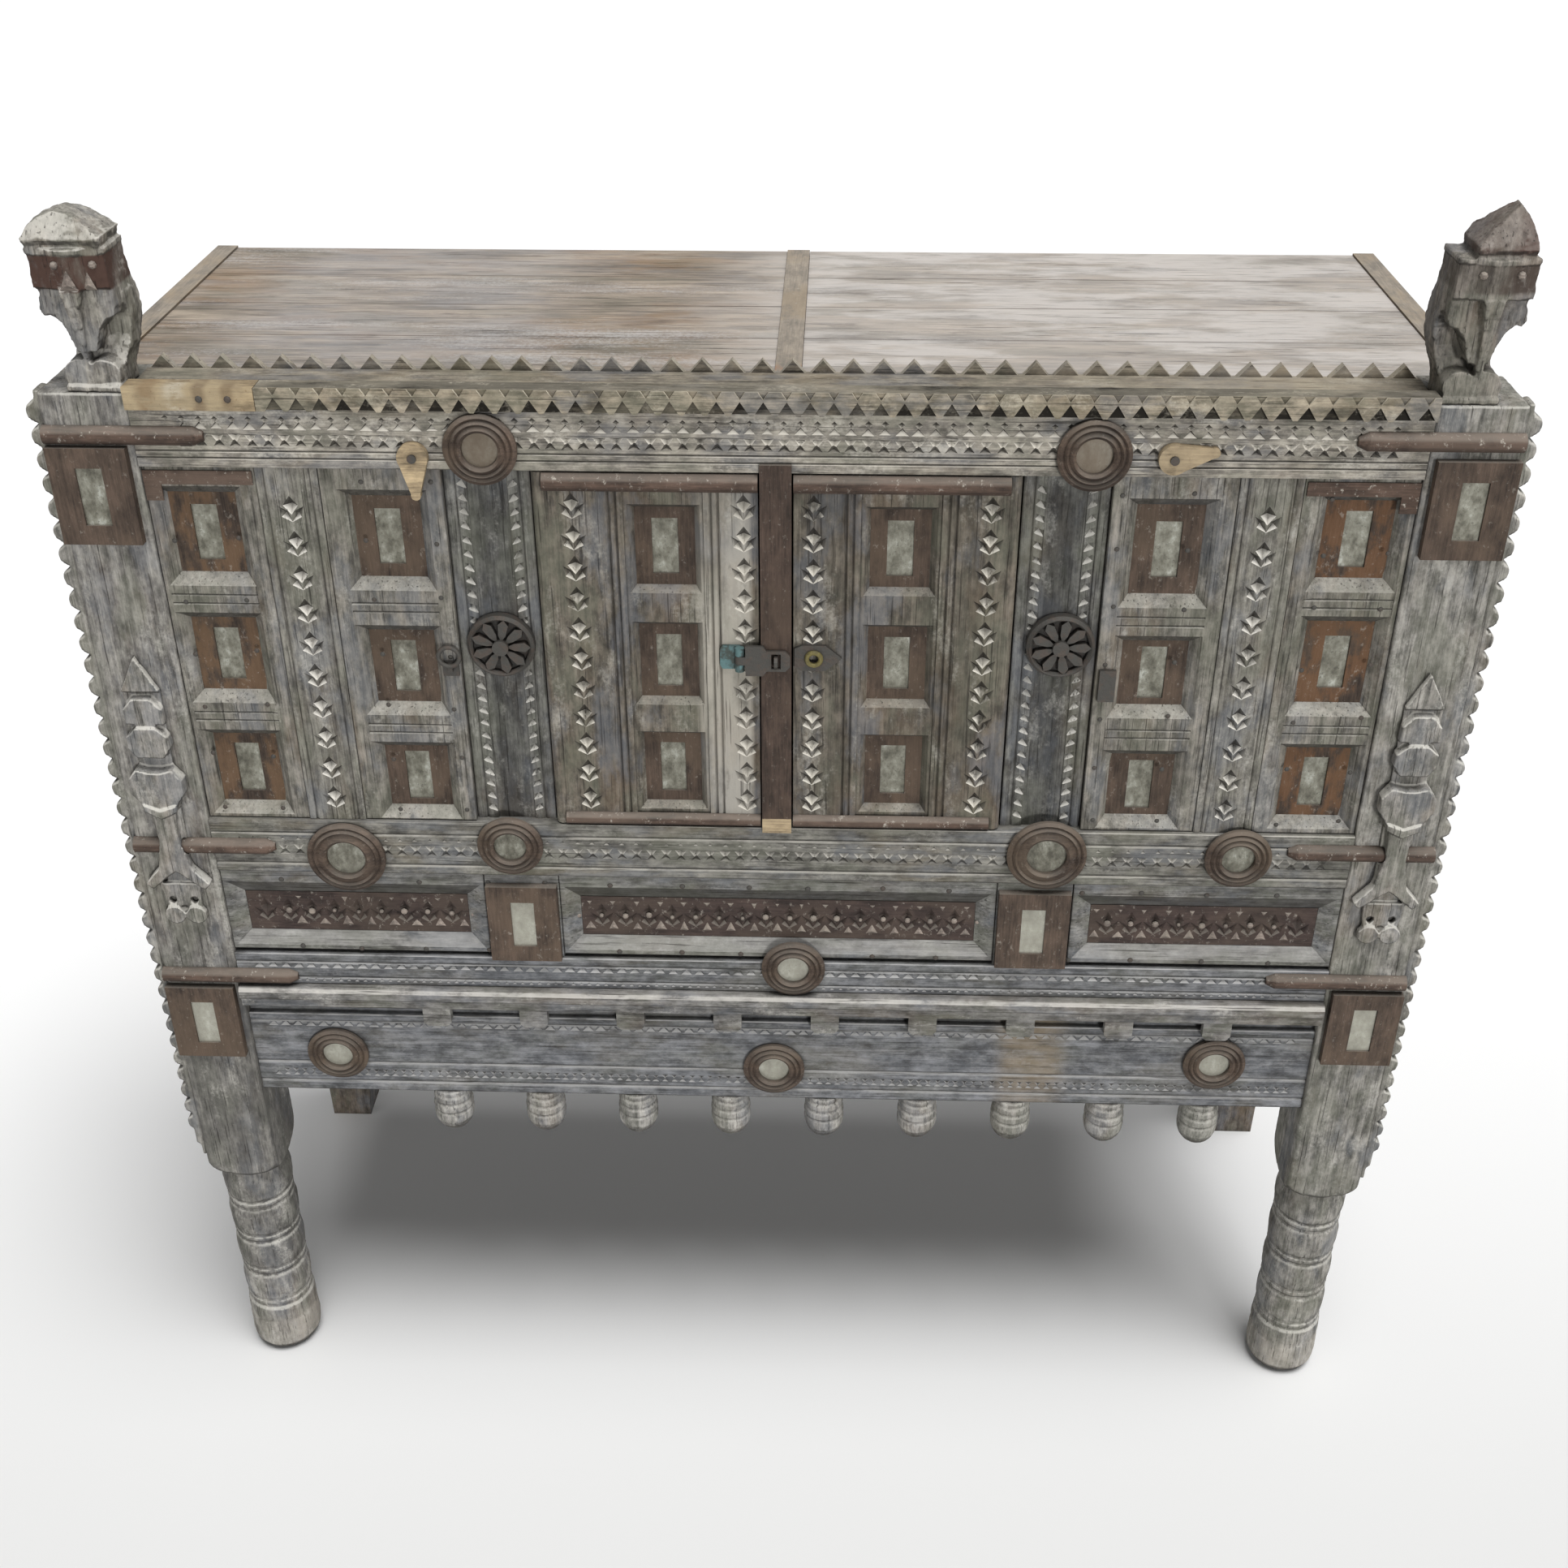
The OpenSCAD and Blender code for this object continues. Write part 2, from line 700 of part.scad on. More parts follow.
module back_boards() {
    n = 9;
    plank = 2 * x_post / n;
    back = case_d - side_setback - 6;
    color(dark_wood) place() for (i = [0 : n - 1])
        slab([-x_post + i * plank + (i > 0 ? fit : 0), back - shell_board_t, z_ledge + shell_rail_h],
             [-x_post + (i + 1) * plank, back, z_shell_top - shell_rail_h]);
}

// Floor of the chest, four long planks on the bearers
module floor_boards() {
    n = 4;
    y0 = rail_t;
    y1 = case_d - side_setback - shell_rail_t;
    plank = (y1 - y0) / n;
    color(dark_wood) place() for (i = [0 : n - 1])
        slab([-x_post, y0 + i * plank + (i > 0 ? fit : 0), z_floor],
             [x_post, y0 + (i + 1) * plank, z_floor + floor_t]);
}

// Cross pieces under the floor and one under the middle of the top
module bearers() {
    y1 = case_d - side_setback - shell_rail_t;
    bearer_w = 45;
    top_bearer_h = 34;
    color(dark_wood) place() {
        for (x = [-x_post * 0.66, 0, x_post * 0.66])
            slab([x - bearer_w / 2, rail_t, z_ledge], [x + bearer_w / 2, y1, z_floor]);
        slab([centre_strip_x - bearer_w / 2, rail_t, z_shell_top - top_bearer_h],
             [centre_strip_x + bearer_w / 2, y1, z_shell_top]);
    }
}

// Jambs beside the leaves, each with two raised cords and a sunk middle
module jambs() {
    rib = 9;
    rib_x = 21;
    color(grey_wood) place() pair() difference() {
        slab([x_jamb, jamb_setback, z_zone], [x_jamb_end - fit, rail_t, z_top_rail]);
        slab([x_jamb_mid - rib_x + rib / 2, jamb_setback - over, z_zone - over],
             [x_jamb_mid + rib_x - rib / 2, jamb_setback + 2, z_top_rail + over]);
        for (s = [-1, 1]) translate([x_jamb_mid + s * (rib_x + rib / 2 + 1), jamb_setback, z_zone + zone_h / 2])
            v_groove(3, 2, zone_h + 2 * over);
    }
}

module centre_mullion() {
    color(dark_wood) place() slab([-mullion_w / 2, 0, z_zone], [mullion_w / 2, rail_t, z_top_rail]);
}

// Stained lath over the mullion, lapping onto the top and middle rails
module centre_lath() {
    w = mullion_w / 2 + lath_lap;
    color(rust_wood) place() slab([-w, -lath_t, z_zone + 12], [w, 0, z_top_rail + 8]);
}

module lath_block() {
    w = mullion_w / 2 + lath_lap;
    color(new_wood) place() slab([-w, -lath_t, z_zone + 12 - lath_block_h], [w, 0, z_zone + 12]);
}

panel_x0 = x_jamb_end;
panel_x1 = x_post - fit;
window_x_inner = panel_x0 + 50;
window_x_outer = x_post - 42;
strip_x = (window_x_inner + window_x_outer) / 2;
chip_strip_t = 8;

// Windows as [x, height, opening]. Those of the side panels were set out by eye, so each has its own
// small shift and stretch; those of a leaf stand in one even column.
function panel_window(x, row, shift, stretch) = [x, window_z(row) + shift, window_h + stretch];
panel_windows = [
    panel_window(-window_x_outer, 0, -1, 0), panel_window(-window_x_outer, 1, 0, 0),
    panel_window(-window_x_outer, 2, 0, 2), panel_window(-window_x_inner, 0, -7, -8),
    panel_window(-window_x_inner, 1, -10, 0), panel_window(-window_x_inner, 2, -2, 3),
    panel_window(window_x_inner, 0, -5.5, -7), panel_window(window_x_inner, 1, -7, -8),
    panel_window(window_x_inner, 2, -6, 10), panel_window(window_x_outer, 0, 0, 0),
    panel_window(window_x_outer, 1, 5.5, 8), panel_window(window_x_outer, 2, 5, -1)];
function leaf_windows(x) = [for (i = [0 : 2]) [x, leaf_window_z(i), window_h]];

// Pocket behind a window that holds a plaque
module plaque_pocket(window, w, y, flare, sunk) {
    h = window[2];
    translate([window[0], y, window[1]]) {
        translate([0, sunk, 0]) bevelled_window(w, h, flare, bevel_depth - sunk);
        slab([-w / 2 - plaque_lap - rest_gap, bevel_depth - 0.01, -h / 2 - plaque_lap - rest_gap],
             [w / 2 + plaque_lap + rest_gap, 60, h / 2 + plaque_lap + rest_gap]);
    }
}

// Side panels: one board each, cut with six bevelled windows and a channel for the carved strip
module panel_frames() {
    y0 = panel_setback;
    color(pale_wood) place() difference() {
        pair() slab([panel_x0, y0, z_zone + fit], [panel_x1, y0 + panel_t, z_top_rail - fit]);
        for (window = panel_windows) plaque_pocket(window, panel_window_w, y0, bevel, 0);
        pair() slab([strip_x - chip_strip_w / 2, y0 - over, z_zone - over],
                    [strip_x + chip_strip_w / 2, y0 + chip_strip_t, z_top_rail + over]);
        for (i = [0 : 11]) if (i % 3 < 2) {
            low = panel_windows[i];
            high = panel_windows[i + 1];
            z = (low[1] + low[2] / 2 + high[1] - high[2] / 2) / 2;
            for (s = [-1, 1]) translate([low[0], y0, z + 4 * s])
                rotate([0, 90, 0]) v_groove(2, 1.2, panel_window_w + 2 * bevel);
        }
    }
}

// Carved strips let into the side panels
module chip_strips() {
    color(pale_wood) place() pair() difference() {
        slab([strip_x - chip_strip_w / 2 + rest_gap, panel_setback - 1, z_zone + fit],
             [strip_x + chip_strip_w / 2 - rest_gap, panel_setback + chip_strip_t, z_top_rail - fit]);
        translate([strip_x, panel_setback - 1, z_zone + 8]) chip_column(zone_h - 30, chip_count);
        for (s = [-1, 1])
            translate([strip_x + s * (chip_strip_w / 2 - 7), panel_setback - 1, z_zone + zone_h / 2])
                v_groove(2.4, 1.6, zone_h + 2 * over);
    }
}

// A plaque with a pocket for its mirror: window in front, pocket behind
module plaque(w, h, t) {
    lip = 2;
    difference() {
        slab([-w / 2, 0, -h / 2], [w / 2, t, h / 2]);
        slab([-mirror_w / 2, -over, -mirror_h / 2], [mirror_w / 2, lip + over, mirror_h / 2]);
        slab([-mirror_w / 2 - lip, lip, -mirror_h / 2 - lip],
             [mirror_w / 2 + lip, t + over, mirror_h / 2 + lip]);
    }
}

module mirror_pane() {
    lip = 2;
    slab([-mirror_w / 2 - lip + 0.2, lip, -mirror_h / 2 - lip + 0.2],
         [mirror_w / 2 + lip - 0.2, lip + mirror_t, mirror_h / 2 + lip - 0.2]);
}

module window_plaques(windows, w, y) {
    for (window = windows) translate([window[0], y + bevel_depth, window[1]])
        plaque(w + 2 * plaque_lap, window[2] + 2 * plaque_lap, plaque_t);
}

module window_mirrors(windows, y) {
    for (window = windows) translate([window[0], y + bevel_depth, window[1]]) mirror_pane();
}

module panel_plaques() {
    color(rust_wood) place() window_plaques(panel_windows, panel_window_w, panel_setback);
}

module panel_mirrors() {
    color(glass_tint) place() window_mirrors(panel_windows, panel_setback);
}

// Thin stained plates over the top outer corner of each side panel
module corner_straps() {
    t = 1.5;
    z1 = z_top_rail - 4;
    x0 = strip_x + chip_strip_w / 2 + 2;
    x1 = panel_x1 - strap_w - 2;
    color(rust_wood) place() pair() front_plate(panel_setback - t, panel_setback)
        polygon([[panel_x1, z1], [panel_x1, z1 - 2.2 * strap_w], [x1, z1 - 2.2 * strap_w],
                 [x1, z1 - strap_w], [x0, z1 - strap_w], [x0, z1]]);
}

// A leaf with its pivot edge towards +X; the carver set the columns of the two leaves apart by
// eye, so each leaf gives its own places: inner chips, windows, outer chips
module leaf(columns) {
    y0 = leaf_setback;
    z0 = z_zone + leaf_gap;
    z1 = z_top_rail - leaf_gap;
    sunk = 2.5;
    difference() {
        union() {
            slab([x_leaf, y0, z0], [x_pivot, y0 + leaf_t, z1]);
            translate([x_pivot, y_pivot, z0]) cylinder(r = pivot_edge_r, h = z1 - z0);
            translate([x_pivot, y_pivot, z0 - pivot_pin_l])
                cylinder(r = pivot_pin_r, h = z1 - z0 + 2 * pivot_pin_l);
        }
        slab([columns[1] - leaf_window_w / 2 - 8, y0 - over, z0 + 2 * foot_bar_r - 2],
             [columns[1] + leaf_window_w / 2 + 8, y0 + sunk, z1 - 2 * top_bar_r + 2]);
        for (window = leaf_windows(columns[1])) plaque_pocket(window, leaf_window_w, y0, leaf_bevel, sunk);
        for (x = [columns[0], columns[2]])
            translate([x, y0, z0 + 12]) chip_column(z1 - z0 - 28, leaf_chip_count);
        for (s = [-1, 1], x = [leaf_window_w / 2 + 14, leaf_window_w / 2 + 20])
            translate([columns[1] + s * x, y0, (z0 + z1) / 2]) v_groove(3, 2, zone_h + 2 * over);
    }
}

left_columns = [x_leaf + 12, x_leaf + 78, x_leaf + 153];
right_columns = [x_leaf + 16.5, x_leaf + 88.5, x_leaf + 161.5];

// Half-round bars across a leaf, ending where its rounded edge starts to stand proud
module leaf_bars() {
    z0 = z_zone + leaf_gap;
    z1 = z_top_rail - leaf_gap;
    x1 = x_pivot - sqrt(pow(pivot_edge_r, 2) - pow(y_pivot - leaf_setback, 2)) - rest_gap;
    for (b = [[z1 - top_bar_r, top_bar_r], [z0 + foot_bar_r, foot_bar_r]])
        intersection() {
            translate([x_leaf, leaf_setback, b[0]]) rotate([0, 90, 0]) cylinder(r = b[1], h = x1 - x_leaf);
            slab([x_leaf - over, leaf_setback - 20, b[0] - 20], [x1 + over, leaf_setback, b[0] + 20]);
        }
}

module door_left_leaf() {
    color(grey_wood) place() mirror([1, 0, 0]) leaf(left_columns);
}

module door_right_leaf() {
    color(grey_wood) place() leaf(right_columns);
}

module door_left_bars() {
    color(rust_wood) place() mirror([1, 0, 0]) leaf_bars();
}

module door_right_bars() {
    color(rust_wood) place() leaf_bars();
}

module door_left_plaques() {
    color(rust_wood) place() window_plaques(leaf_windows(-left_columns[1]), leaf_window_w, leaf_setback);
}

module door_right_plaques() {
    color(rust_wood) place() window_plaques(leaf_windows(right_columns[1]), leaf_window_w, leaf_setback);
}

module door_left_mirrors() {
    color(glass_tint) place() window_mirrors(leaf_windows(-left_columns[1]), leaf_setback);
}

module door_right_mirrors() {
    color(glass_tint) place() window_mirrors(leaf_windows(right_columns[1]), leaf_setback);
}

frieze_y = frieze_frame_t + 2;
frieze_frame_z = z_frieze + frieze_h / 2 - 2;
frieze_flare = 14;
centre_frame = [0, 2 * (x_jamb_mid - 35)];
side_frame = [(x_jamb_mid + 35 + x_post) / 2, x_post - x_jamb_mid - 35 - fit];
frieze_panel_t = 6;

function frieze_panel_w(frame) = frame[1] - 2 * 18;

module frieze_board() {
    color(grey_wood) place()
        slab([-x_post, frieze_y, z_frieze], [x_post, frieze_y + frieze_board_t, z_mid]);
}

module frieze_fields() {
    for (f = [[-side_frame[0], side_frame[1]], centre_frame, side_frame])
        translate([f[0], 2, frieze_frame_z]) {
            $field_w = f[1];
            children();
        }
}

// Bevelled frames, and the stiles that carry plaques between them
module frieze_frames() {
    color(pale_wood) place() {
        frieze_fields() difference() {
            slab([-$field_w / 2, 0, -frieze_frame_h / 2], [$field_w / 2, frieze_frame_t, frieze_frame_h / 2]);
            bevelled_window($field_w - 36, frieze_panel_h, frieze_flare, frieze_frame_t - frieze_panel_t);
            slab([-$field_w / 2 + 18, 0, -frieze_panel_h / 2],
                 [$field_w / 2 - 18, frieze_frame_t + over, frieze_panel_h / 2]);
        }
        pair() slab([x_jamb_mid - 35 + fit, 2, z_frieze], [x_jamb_mid + 35 - fit, frieze_y, z_mid]);
    }
}

// Dark carved panels in the frieze, each cut with a run of star chips
module frieze_panels() {
    color(rust_wood) place() frieze_fields() {
        w = $field_w - 36 - 2 * rest_gap;
        pitch = 22;
        n = floor(w / pitch);
        difference() {
            slab([-w / 2, frieze_frame_t - frieze_panel_t, -frieze_panel_h / 2 + rest_gap],
                 [w / 2, frieze_frame_t, frieze_panel_h / 2 - rest_gap]);
            for (i = [0 : n - 1]) translate([(i - (n - 1) / 2) * pitch, frieze_frame_t - frieze_panel_t, 0])
                star_chip(18, 30, 4);
        }
    }
}

// The two sides were nailed up by eye: heights of the bars and plaques on the left and on the right
bar_z_left = [z_cornice - 23, z_mid + 29, z_frieze - 26];
bar_z_right = [z_cornice - 18, z_mid + 40, z_frieze - 11];
plaque_z_left = [z_top_rail - 24, z_lower - 44];
plaque_z_right = [z_top_rail - 24, z_lower - 28];
corner_plaque_x = case_w / 2 - corner_plaque_w / 2;

// Places of the plaques nailed to the posts and over the frieze stiles
module case_plaque_places() {
    for (z = plaque_z_left) translate([-corner_plaque_x, -corner_plaque_t, z]) children();
    for (z = plaque_z_right) translate([corner_plaque_x, -corner_plaque_t, z]) children();
    for (s = [-1, 1])
        translate([s * x_jamb_mid, 2 - corner_plaque_t, z_frieze + corner_plaque_h / 2 + (s < 0 ? 0.5 : 2)])
            children();
}

module case_plaques() {
    color(rust_wood) place() case_plaque_places()
        plaque(corner_plaque_w, corner_plaque_h, corner_plaque_t);
}

// Mirrors of the case: panes in its plaques and discs in its roundels
module case_mirrors() {
    color(glass_tint) place() {
        case_plaque_places() mirror_pane();
        for (r = roundel_list) translate([r[0], r[3], r[1]]) rotate([90, 0, 0])
            translate([0, 0, 1]) cylinder(r = r[2] * roundel_hole - 0.1, h = mirror_t);
    }
}

roundel_hole = 0.5;
// x, z, radius and y of the face that each roundel is nailed to
roundel_list = [
    [-x_jamb_mid, z_top_rail + 19, roundel_r, 0], [x_jamb_mid + 17, z_top_rail + 19, roundel_r, 0],
    [-x_post + 123, z_mid + 20, big_roundel_r, 0], [-x_jamb_mid - 6, z_mid + 35, roundel_r, 0],
    [x_jamb_mid + 7, z_mid + 34, big_roundel_r, 0], [x_post - 102, z_mid + 34, roundel_r, 0],
    [15, z_lower + 31, roundel_r, 0],
    [-x_post + 83, z_apron + 50, roundel_r, apron_setback], [-4, z_apron + 41, roundel_r, apron_setback],
    [x_post - 93, z_apron + 57, roundel_r, apron_setback]];

// Turned rings with two grooves round a mirror
module roundels() {
    color(rust_wood) place() for (r = roundel_list) translate([r[0], r[3], r[1]]) rotate([90, 0, 0])
        rotate_extrude() {
            o = r[2];
            i = o * roundel_hole;
            t = roundel_t;
            polygon([[i, 0], [o - 1, 0], [o, 2], [o, t - 4], [o - 3, t - 2], [o - 5, t - 3.5],
                     [o - 7.5, t - 0.5], [o - 9.5, t - 2.5], [i + 2.5, t], [i, t - 2]]);
        }
}

// Pierced flower on each jamb: a rim, a hub and petals
module flower_bosses() {
    rim = boss_r * 0.17;
    color(dark_iron) place() for (p = [[-x_jamb_mid + 1, z_zone + zone_h * 0.526],
                                       [x_jamb_mid + 4, z_zone + zone_h * 0.544]])
        translate([p[0], jamb_setback, p[1]]) rotate([90, 0, 0]) {
            rotate_extrude()
                polygon([[boss_r - rim, 0], [boss_r, 0], [boss_r, boss_t - rim], [boss_r - rim / 2, boss_t - 2],
                         [boss_r - rim, boss_t - rim]]);
            cylinder(r = boss_r * 0.24, h = boss_t);
            cylinder(r = boss_r - 2, h = boss_t / 4);
            for (i = [0 : boss_petals - 1]) rotate(i * 360 / boss_petals) translate([boss_r * 0.52, 0, 0])
                petal();
        }
}

module petal() {
    r = boss_r;
    linear_extrude(boss_t - 3)
        polygon([[-r * 0.36, 0], [-r * 0.12, -r * 0.11], [r * 0.2, -r * 0.15],
                 [r * 0.38, 0], [r * 0.2, r * 0.15], [-r * 0.12, r * 0.11]]);
}

// Half-round bar from the outer post face inwards, blunt at its inner end
module corner_bar() {
    r = corner_bar_r;
    nose = 8;
    intersection() {
        union() {
            rotate([0, 90, 0]) cylinder(r = r, h = corner_bar_l - nose);
            translate([corner_bar_l - nose, 0, 0]) rotate([0, 90, 0])
                cylinder(r1 = r, r2 = r * 0.5, h = nose);
        }
        slab([-over, -2 * r, -2 * r], [corner_bar_l + over, 0, 2 * r]);
    }
}

module corner_bars() {
    color(rust_wood) place() {
        for (z = bar_z_left) translate([-case_w / 2, 0, z]) corner_bar();
        for (z = bar_z_right) translate([case_w / 2, 0, z]) mirror([1, 0, 0]) corner_bar();
    }
}

// One layer of the carved ornament, its outline drawn 60 wide and 286 long
module carved_layer(depth, outline) {
    front_plate(depth - applique_t, 0) scale([applique_w / 60, applique_l / 286]) polygon(outline);
}

// Carved ornament down a front post, notched over the middle corner bar
module applique(bar_z) {
    foot = z_mid - applique_l * 0.213;
    k = applique_l / 286;
    eye = applique_w / 6;
    difference() {
        translate([0, 0, foot]) union() {
            carved_layer(9, [[-17, 252], [17, 252], [0, 286]]);
            carved_layer(13, [[-17, 252], [-12, 20], [12, 20], [17, 252]]);
            carved_layer(6, [[-17, 221], [17, 221], [17, 236], [8, 247], [-8, 247], [-17, 236]]);
            carved_layer(4, [[-12, 188], [12, 188], [19, 199], [18, 210], [9, 218], [-9, 218], [-18, 210],
                             [-19, 199]]);
            carved_layer(2, [[-13, 136], [13, 136], [24, 152], [24, 166], [16, 177], [5, 174], [-5, 174],
                             [-16, 177], [-24, 166], [-24, 152]]);
            carved_layer(0, [[-15, 141], [-15, 134], [0, 126], [15, 134], [15, 141], [0, 135]]);
            carved_layer(5, [[-11, 136], [-9, 100], [-15, 70], [-30, 52], [-24, 46], [-8, 60], [0, 66],
                             [8, 60], [24, 46], [30, 52], [15, 70], [9, 100], [11, 136]]);
            carved_layer(10, [[-16, 24], [16, 24], [19, 50], [-19, 50]]);
            for (s = [-1, 1]) translate([s * eye, 0, 15 * k]) rotate([90, 0, 0])
                cylinder(r = eye * 0.95, h = applique_t - 8);
        }
        for (s = [-1, 1]) translate([s * eye, over, foot + 31 * k]) rotate([90, 0, 0])
            cylinder(r = eye / 3, h = applique_t);
        translate([-post_w, 0, bar_z]) rotate([0, 90, 0]) cylinder(r = corner_bar_r + rest_gap, h = 2 * post_w);
    }
}

module appliques() {
    x = case_w / 2 - post_w / 2;
    color(pale_wood) place() {
        translate([-x, 0, 0]) applique(bar_z_left[1]);
        translate([x, 0, 0]) applique(bar_z_right[1]);
    }
}

latch_z = z_zone + latch_up;
knuckle_x = -31;
knuckle_y = leaf_setback - 6;
knuckle_hz = 3.7;
hasp_y = knuckle_y - knuckle_r;
eye_x = mullion_w / 2 + 20;

// Verdigris plate on the left leaf with two knuckles and the pin
module hasp_hinge() {
    plate_t = 2.8;
    color(verdigris) place() translate([0, 0, latch_z]) {
        difference() {
            front_plate(leaf_setback - plate_t, leaf_setback)
                polygon([[-48, -7], [-46, -11], [knuckle_x, -11], [knuckle_x, 11], [-46, 11], [-48, 7]]);
            slab([knuckle_x - knuckle_r, leaf_setback - plate_t - over, -knuckle_hz - rest_gap],
                 [knuckle_x + over, leaf_setback + over, knuckle_hz + rest_gap]);
        }
        translate([knuckle_x, knuckle_y, -11]) cylinder(r = knuckle_r, h = 11 - knuckle_hz - rest_gap);
        translate([knuckle_x, knuckle_y, knuckle_hz + rest_gap])
            cylinder(r = knuckle_r, h = 11 - knuckle_hz - rest_gap);
        translate([knuckle_x, knuckle_y, -11]) cylinder(r = hasp_pin_r, h = 22);
    }
}

// Iron hasp: a knuckle, a broad plate and a neck slotted over the staple
module hasp() {
    nose = mullion_w / 2;
    color(dark_iron) place() translate([0, 0, latch_z]) difference() {
        union() {
            translate([knuckle_x, knuckle_y, -knuckle_hz]) cylinder(r = knuckle_r, h = 2 * knuckle_hz);
            front_plate(hasp_y, hasp_y + hasp_t) {
                translate([knuckle_x, -knuckle_hz]) square([8, 2 * knuckle_hz]);
                polygon([[knuckle_x + 5, -hasp_hz], [-11, -hasp_hz], [-8, -hasp_neck_hz],
                         [nose - 4, -hasp_neck_hz], [nose, -5], [nose, 5], [nose - 4, hasp_neck_hz],
                         [-8, hasp_neck_hz], [-11, hasp_hz], [knuckle_x + 5, hasp_hz]]);
            }
        }
        translate([knuckle_x, knuckle_y, -knuckle_hz - over])
            cylinder(r = hasp_pin_r + run_gap, h = 2 * knuckle_hz + 2 * over);
        slab([-4, hasp_y - over, -7], [4, hasp_y + hasp_t + over, 7]);
    }
}

// Iron plate with a pointed end on the right leaf
module eye_plate() {
    t = 3;
    hz = hasp_hz * 0.86;
    color(dark_iron) place() translate([0, 0, latch_z]) difference() {
        front_plate(leaf_setback - t, leaf_setback)
            polygon([[x_leaf + 1, -hz * 0.75], [eye_x - 10, -hz], [eye_x + 10, -hz], [eye_x + 2 * hz, 0],
                     [eye_x + 10, hz], [eye_x - 10, hz], [x_leaf + 1, hz * 0.75]]);
        translate([eye_x, leaf_setback + over, 0]) rotate([90, 0, 0]) cylinder(r = 4, h = t + 2 * over);
    }
}

module eye_ring() {
    color(old_brass) place() translate([eye_x, leaf_setback - 3, latch_z]) rotate([90, 0, 0])
        rotate_extrude() polygon([[4, 0], [8, 0], [8, 1.5], [7, 3], [5, 3], [4, 2]]);
}

// Staple on the lath and the driven eyes at the inner edges of the side panels
module iron_eyes() {
    color(dark_iron) place() {
        translate([0, 0, latch_z]) difference() {
            side_plate(-1.5, 1.5)
                polygon([[-lath_t, -5], [-staple_front + 3, -5], [-staple_front, -2], [-staple_front, 2],
                         [-staple_front + 3, 5], [-lath_t, 5]]);
            translate([-over - 2, -staple_front + 4.5, 0]) rotate([0, 90, 0]) cylinder(r = 2, h = 6);
        }
        translate([-panel_x0 - 8, panel_setback, latch_z - 16]) {
            front_plate(-2, 0) square(14, center = true);
            translate([0, -5, 13]) rotate([90, 0, 0]) rotate_extrude()
                translate([9, 0]) circle(r = 2);
            slab([-2, -5, -2], [2, 0, 6]);
        }
        translate([panel_x0 + 10, panel_setback, latch_z - 24])
            front_plate(-4, 0) square([14, 30], center = true);
    }
}

// x and z of the nails that the left and the right button turn on
button_places = [[-x_jamb_end - 19, z_top_rail + 12], [x_jamb_end + 44, z_top_rail + 17]];
nail_in = 20;

// Teardrop button with its tip along -z
module turn_button() {
    tip_r = 4;
    reach = button_l - tip_r;
    shoulder = [button_r * 0.95, -button_r * 0.22];
    translate([0, -rest_gap, 0]) difference() {
        union() {
            rotate([90, 0, 0]) cylinder(r = button_r, h = button_t);
            translate([0, 0, -reach]) rotate([90, 0, 0]) cylinder(r = tip_r, h = button_t);
            front_plate(-button_t, 0)
                polygon([shoulder, [tip_r * 0.85, -reach], [-tip_r * 0.85, -reach],
                         [-shoulder[0], shoulder[1]]]);
        }
        translate([0, over, 0]) rotate([90, 0, 0])
            cylinder(r = button_nail_r + run_gap, h = button_t + 2 * over);
    }
}

module button_left() {
    color(new_wood) place() translate([button_places[0][0], 0, button_places[0][1]]) turn_button();
}

module button_right() {
    color(new_wood) place() translate([button_places[1][0], 0, button_places[1][1]])
        rotate([0, -90 - button_right_lean, 0]) turn_button();
}

module button_nails() {
    head = 1.8;
    front = rest_gap + button_t + rest_gap;
    color(dark_iron) place() for (p = button_places) translate([p[0], nail_in, p[1]]) rotate([90, 0, 0]) {
        cylinder(r = button_nail_r, h = nail_in + front);
        translate([0, 0, nail_in + front]) cylinder(r = 3.6, h = head);
    }
}

post_front_left();
post_front_right();
post_back_left();
post_back_right();
finial_left();
finial_right();
edge_strips();
top_rail();
mid_rail();
lower_rail();
ledge();
apron();
cornice_lower();
cornice_patch();
cornice_shelf();
cornice_sawtooth();
top_boards();
top_centre_strip();
top_end_battens();
shell_rails();
side_boards();
back_boards();
floor_boards();
bearers();
jambs();
centre_mullion();
centre_lath();
lath_block();
panel_frames();
chip_strips();
panel_plaques();
panel_mirrors();
corner_straps();
frieze_board();
frieze_frames();
frieze_panels();
case_plaques();
case_mirrors();
roundels();
flower_bosses();
corner_bars();
appliques();
pendants();
iron_eyes();
button_nails();
door_left_leaf();
door_left_plaques();
door_left_mirrors();
door_left_bars();
door_right_leaf();
door_right_plaques();
door_right_mirrors();
door_right_bars();
hasp_hinge();
hasp();
eye_plate();
eye_ring();
button_left();
button_right();
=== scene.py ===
"""Dowry chest: weathered, limewashed timber, rust-stained plaques, tarnished mirrors and old iron."""

import json
import math
import random

import bmesh
import bpy
from mathutils import Matrix, Vector

